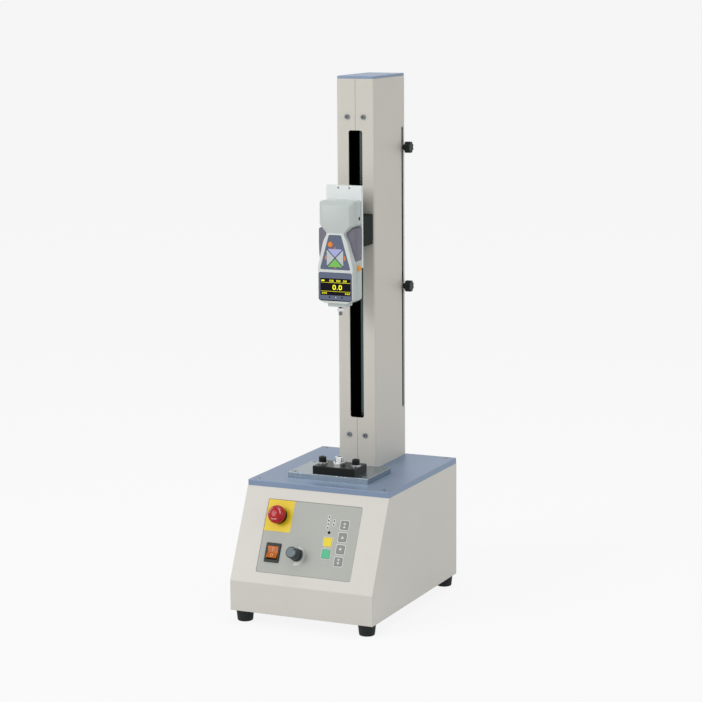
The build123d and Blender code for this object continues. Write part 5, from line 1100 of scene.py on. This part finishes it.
# Thread of the ball screw: a helical groove along its whole length
SCREW_Y = 70.0
SCREW_RADIUS = 7.0
SCREW_LEAD = 5.0
SCREW_GROOVE = 0.15
SCREW_LOW, SCREW_HIGH = 273.8, 756.7
JOURNAL_RADIUS = 6.0
JOURNAL_LOW, JOURNAL_HIGH = 180.5, 779.0


def helix_mesh(name, radius, lead, depth, low, high, around, along, y):
    """A rod with a rounded helical groove, as rings of points."""
    rows = int(round((high - low) / along))
    work = bmesh.new()
    last = None
    for row in range(rows + 1):
        z = low + (high - low) * row / rows
        loop = []
        for i in range(around):
            phase = (z / lead - i / around) * 2 * pi
            dip = max(0.0, cos(phase)) ** 0.8
            r = radius - depth * dip
            angle = 2 * pi * i / around
            loop.append(work.verts.new((r * cos(angle) * MM, (y + r * sin(angle)) * MM, z * MM)))
        if last:
            for face in bridge(work, last, loop):
                face.smooth = True
        else:
            work.faces.new(list(reversed(loop)))
        last = loop
    work.faces.new(last)
    return finished(work, name)


screw_thread = add_piece(
    "ball_screw_thread",
    helix_mesh("ball_screw_thread", SCREW_RADIUS, SCREW_LEAD, SCREW_GROOVE, SCREW_LOW, SCREW_HIGH,
               20, 0.72, SCREW_Y),
    "lift_screw", rail_steel_shaded,
)


def rod_mesh(name, radius, sections, y, steps=28):
    """A turned rod along Z from (low, high) sections of one radius."""
    work = bmesh.new()
    for low, high in sections:
        bottom = ring_at(work, circle(0, y, radius, steps), low)
        top = ring_at(work, circle(0, y, radius, steps), high)
        for face in bridge(work, bottom, top):
            face.smooth = True
        work.faces.new(list(reversed(bottom)))
        work.faces.new(top)
    return finished(work, name)


sections = ((JOURNAL_LOW, SCREW_LOW), (SCREW_HIGH, JOURNAL_HIGH))
journals = rod_mesh("ball_screw_journals", JOURNAL_RADIUS, sections, SCREW_Y)
add_piece("ball_screw_journals", journals, "lift_screw", rail_steel_shaded)
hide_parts("ball_screw")


# Gauge shaft: thread and chamfered lock nut
SHAFT_TIP, SHAFT_TOP = 464.0, 494.0
SHAFT_RADIUS, SHAFT_LEAD, SHAFT_GROOVE = 3.0, 1.0, 0.35
NUT_LOW, NUT_HIGH = 470.4, 475.4
NUT_FLATS, NUT_BORE, NUT_CHAMFER = 10.0, 2.95, 0.7


def nut_mesh(name, flats, low, high, bore, y, facets=6, steps=48):
    """A hexagon nut with chamfered corners and a bore."""
    work = bmesh.new()
    corner = flats / 2 / cos(pi / facets)

    def ring(z, cut):
        loop = []
        for i in range(steps):
            angle = 2 * pi * i / steps
            sector = (angle + pi / facets) % (2 * pi / facets) - pi / facets
            r = min(cut, flats / 2 / cos(sector))
            loop.append(work.verts.new((r * cos(angle + pi / facets) * MM,
                                        (y + r * sin(angle + pi / facets)) * MM, z * MM)))
        return loop

    def hole(z):
        return ring_at(work, circle(0, y, bore, steps, pi / facets), z)

    loops = [
        hole(low), ring(low, flats / 2), ring(low + NUT_CHAMFER, corner),
        ring(high - NUT_CHAMFER, corner), ring(high, flats / 2), hole(high),
    ]
    for first, second in zip(loops, loops[1:] + loops[:1]):
        bridge(work, first, second)
    bmesh.ops.recalc_face_normals(work, faces=work.faces)
    return finished(work, name)


shaft_thread = add_piece(
    "gauge_shaft_thread",
    helix_mesh("gauge_shaft_thread", SHAFT_RADIUS, SHAFT_LEAD, SHAFT_GROOVE, SHAFT_TIP, SHAFT_TOP,
               24, 0.14, SHAFT_Y),
    "carriage", steel_dark_reflection,
)
lock_nut = nut_mesh("gauge_shaft_nut", NUT_FLATS, NUT_LOW, NUT_HIGH, NUT_BORE, SHAFT_Y)
add_piece("gauge_shaft_nut", lock_nut, "carriage", chrome)
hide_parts("gauge_shaft")


# Rear signal socket: two rows of contacts, as dark dots: painted shade in the contacts' holes
SIGNAL_PLACE = (62.0, 173.4, 52.0)
CONTACT_RADIUS, CONTACT_PITCH, CONTACT_ROW = 0.7, 2.76, 1.5
CONTACT_ROWS = ((-15.2, 1, 12), (-13.8, -1, 11))
socket_plane = plane(Vector(SIGNAL_PLACE) * MM, (-1, 0, 0), (0, 0, 1))
contacts = []
for start, side, count in CONTACT_ROWS:
    contacts += [circle(start + i * CONTACT_PITCH, side * CONTACT_ROW, CONTACT_RADIUS, 12)
                 for i in range(count)]
add_shapes("signal_contacts", contacts, RECESS_LOW, RECESS_HIGH,
           "stand", hole_shade_and_black, socket_plane)
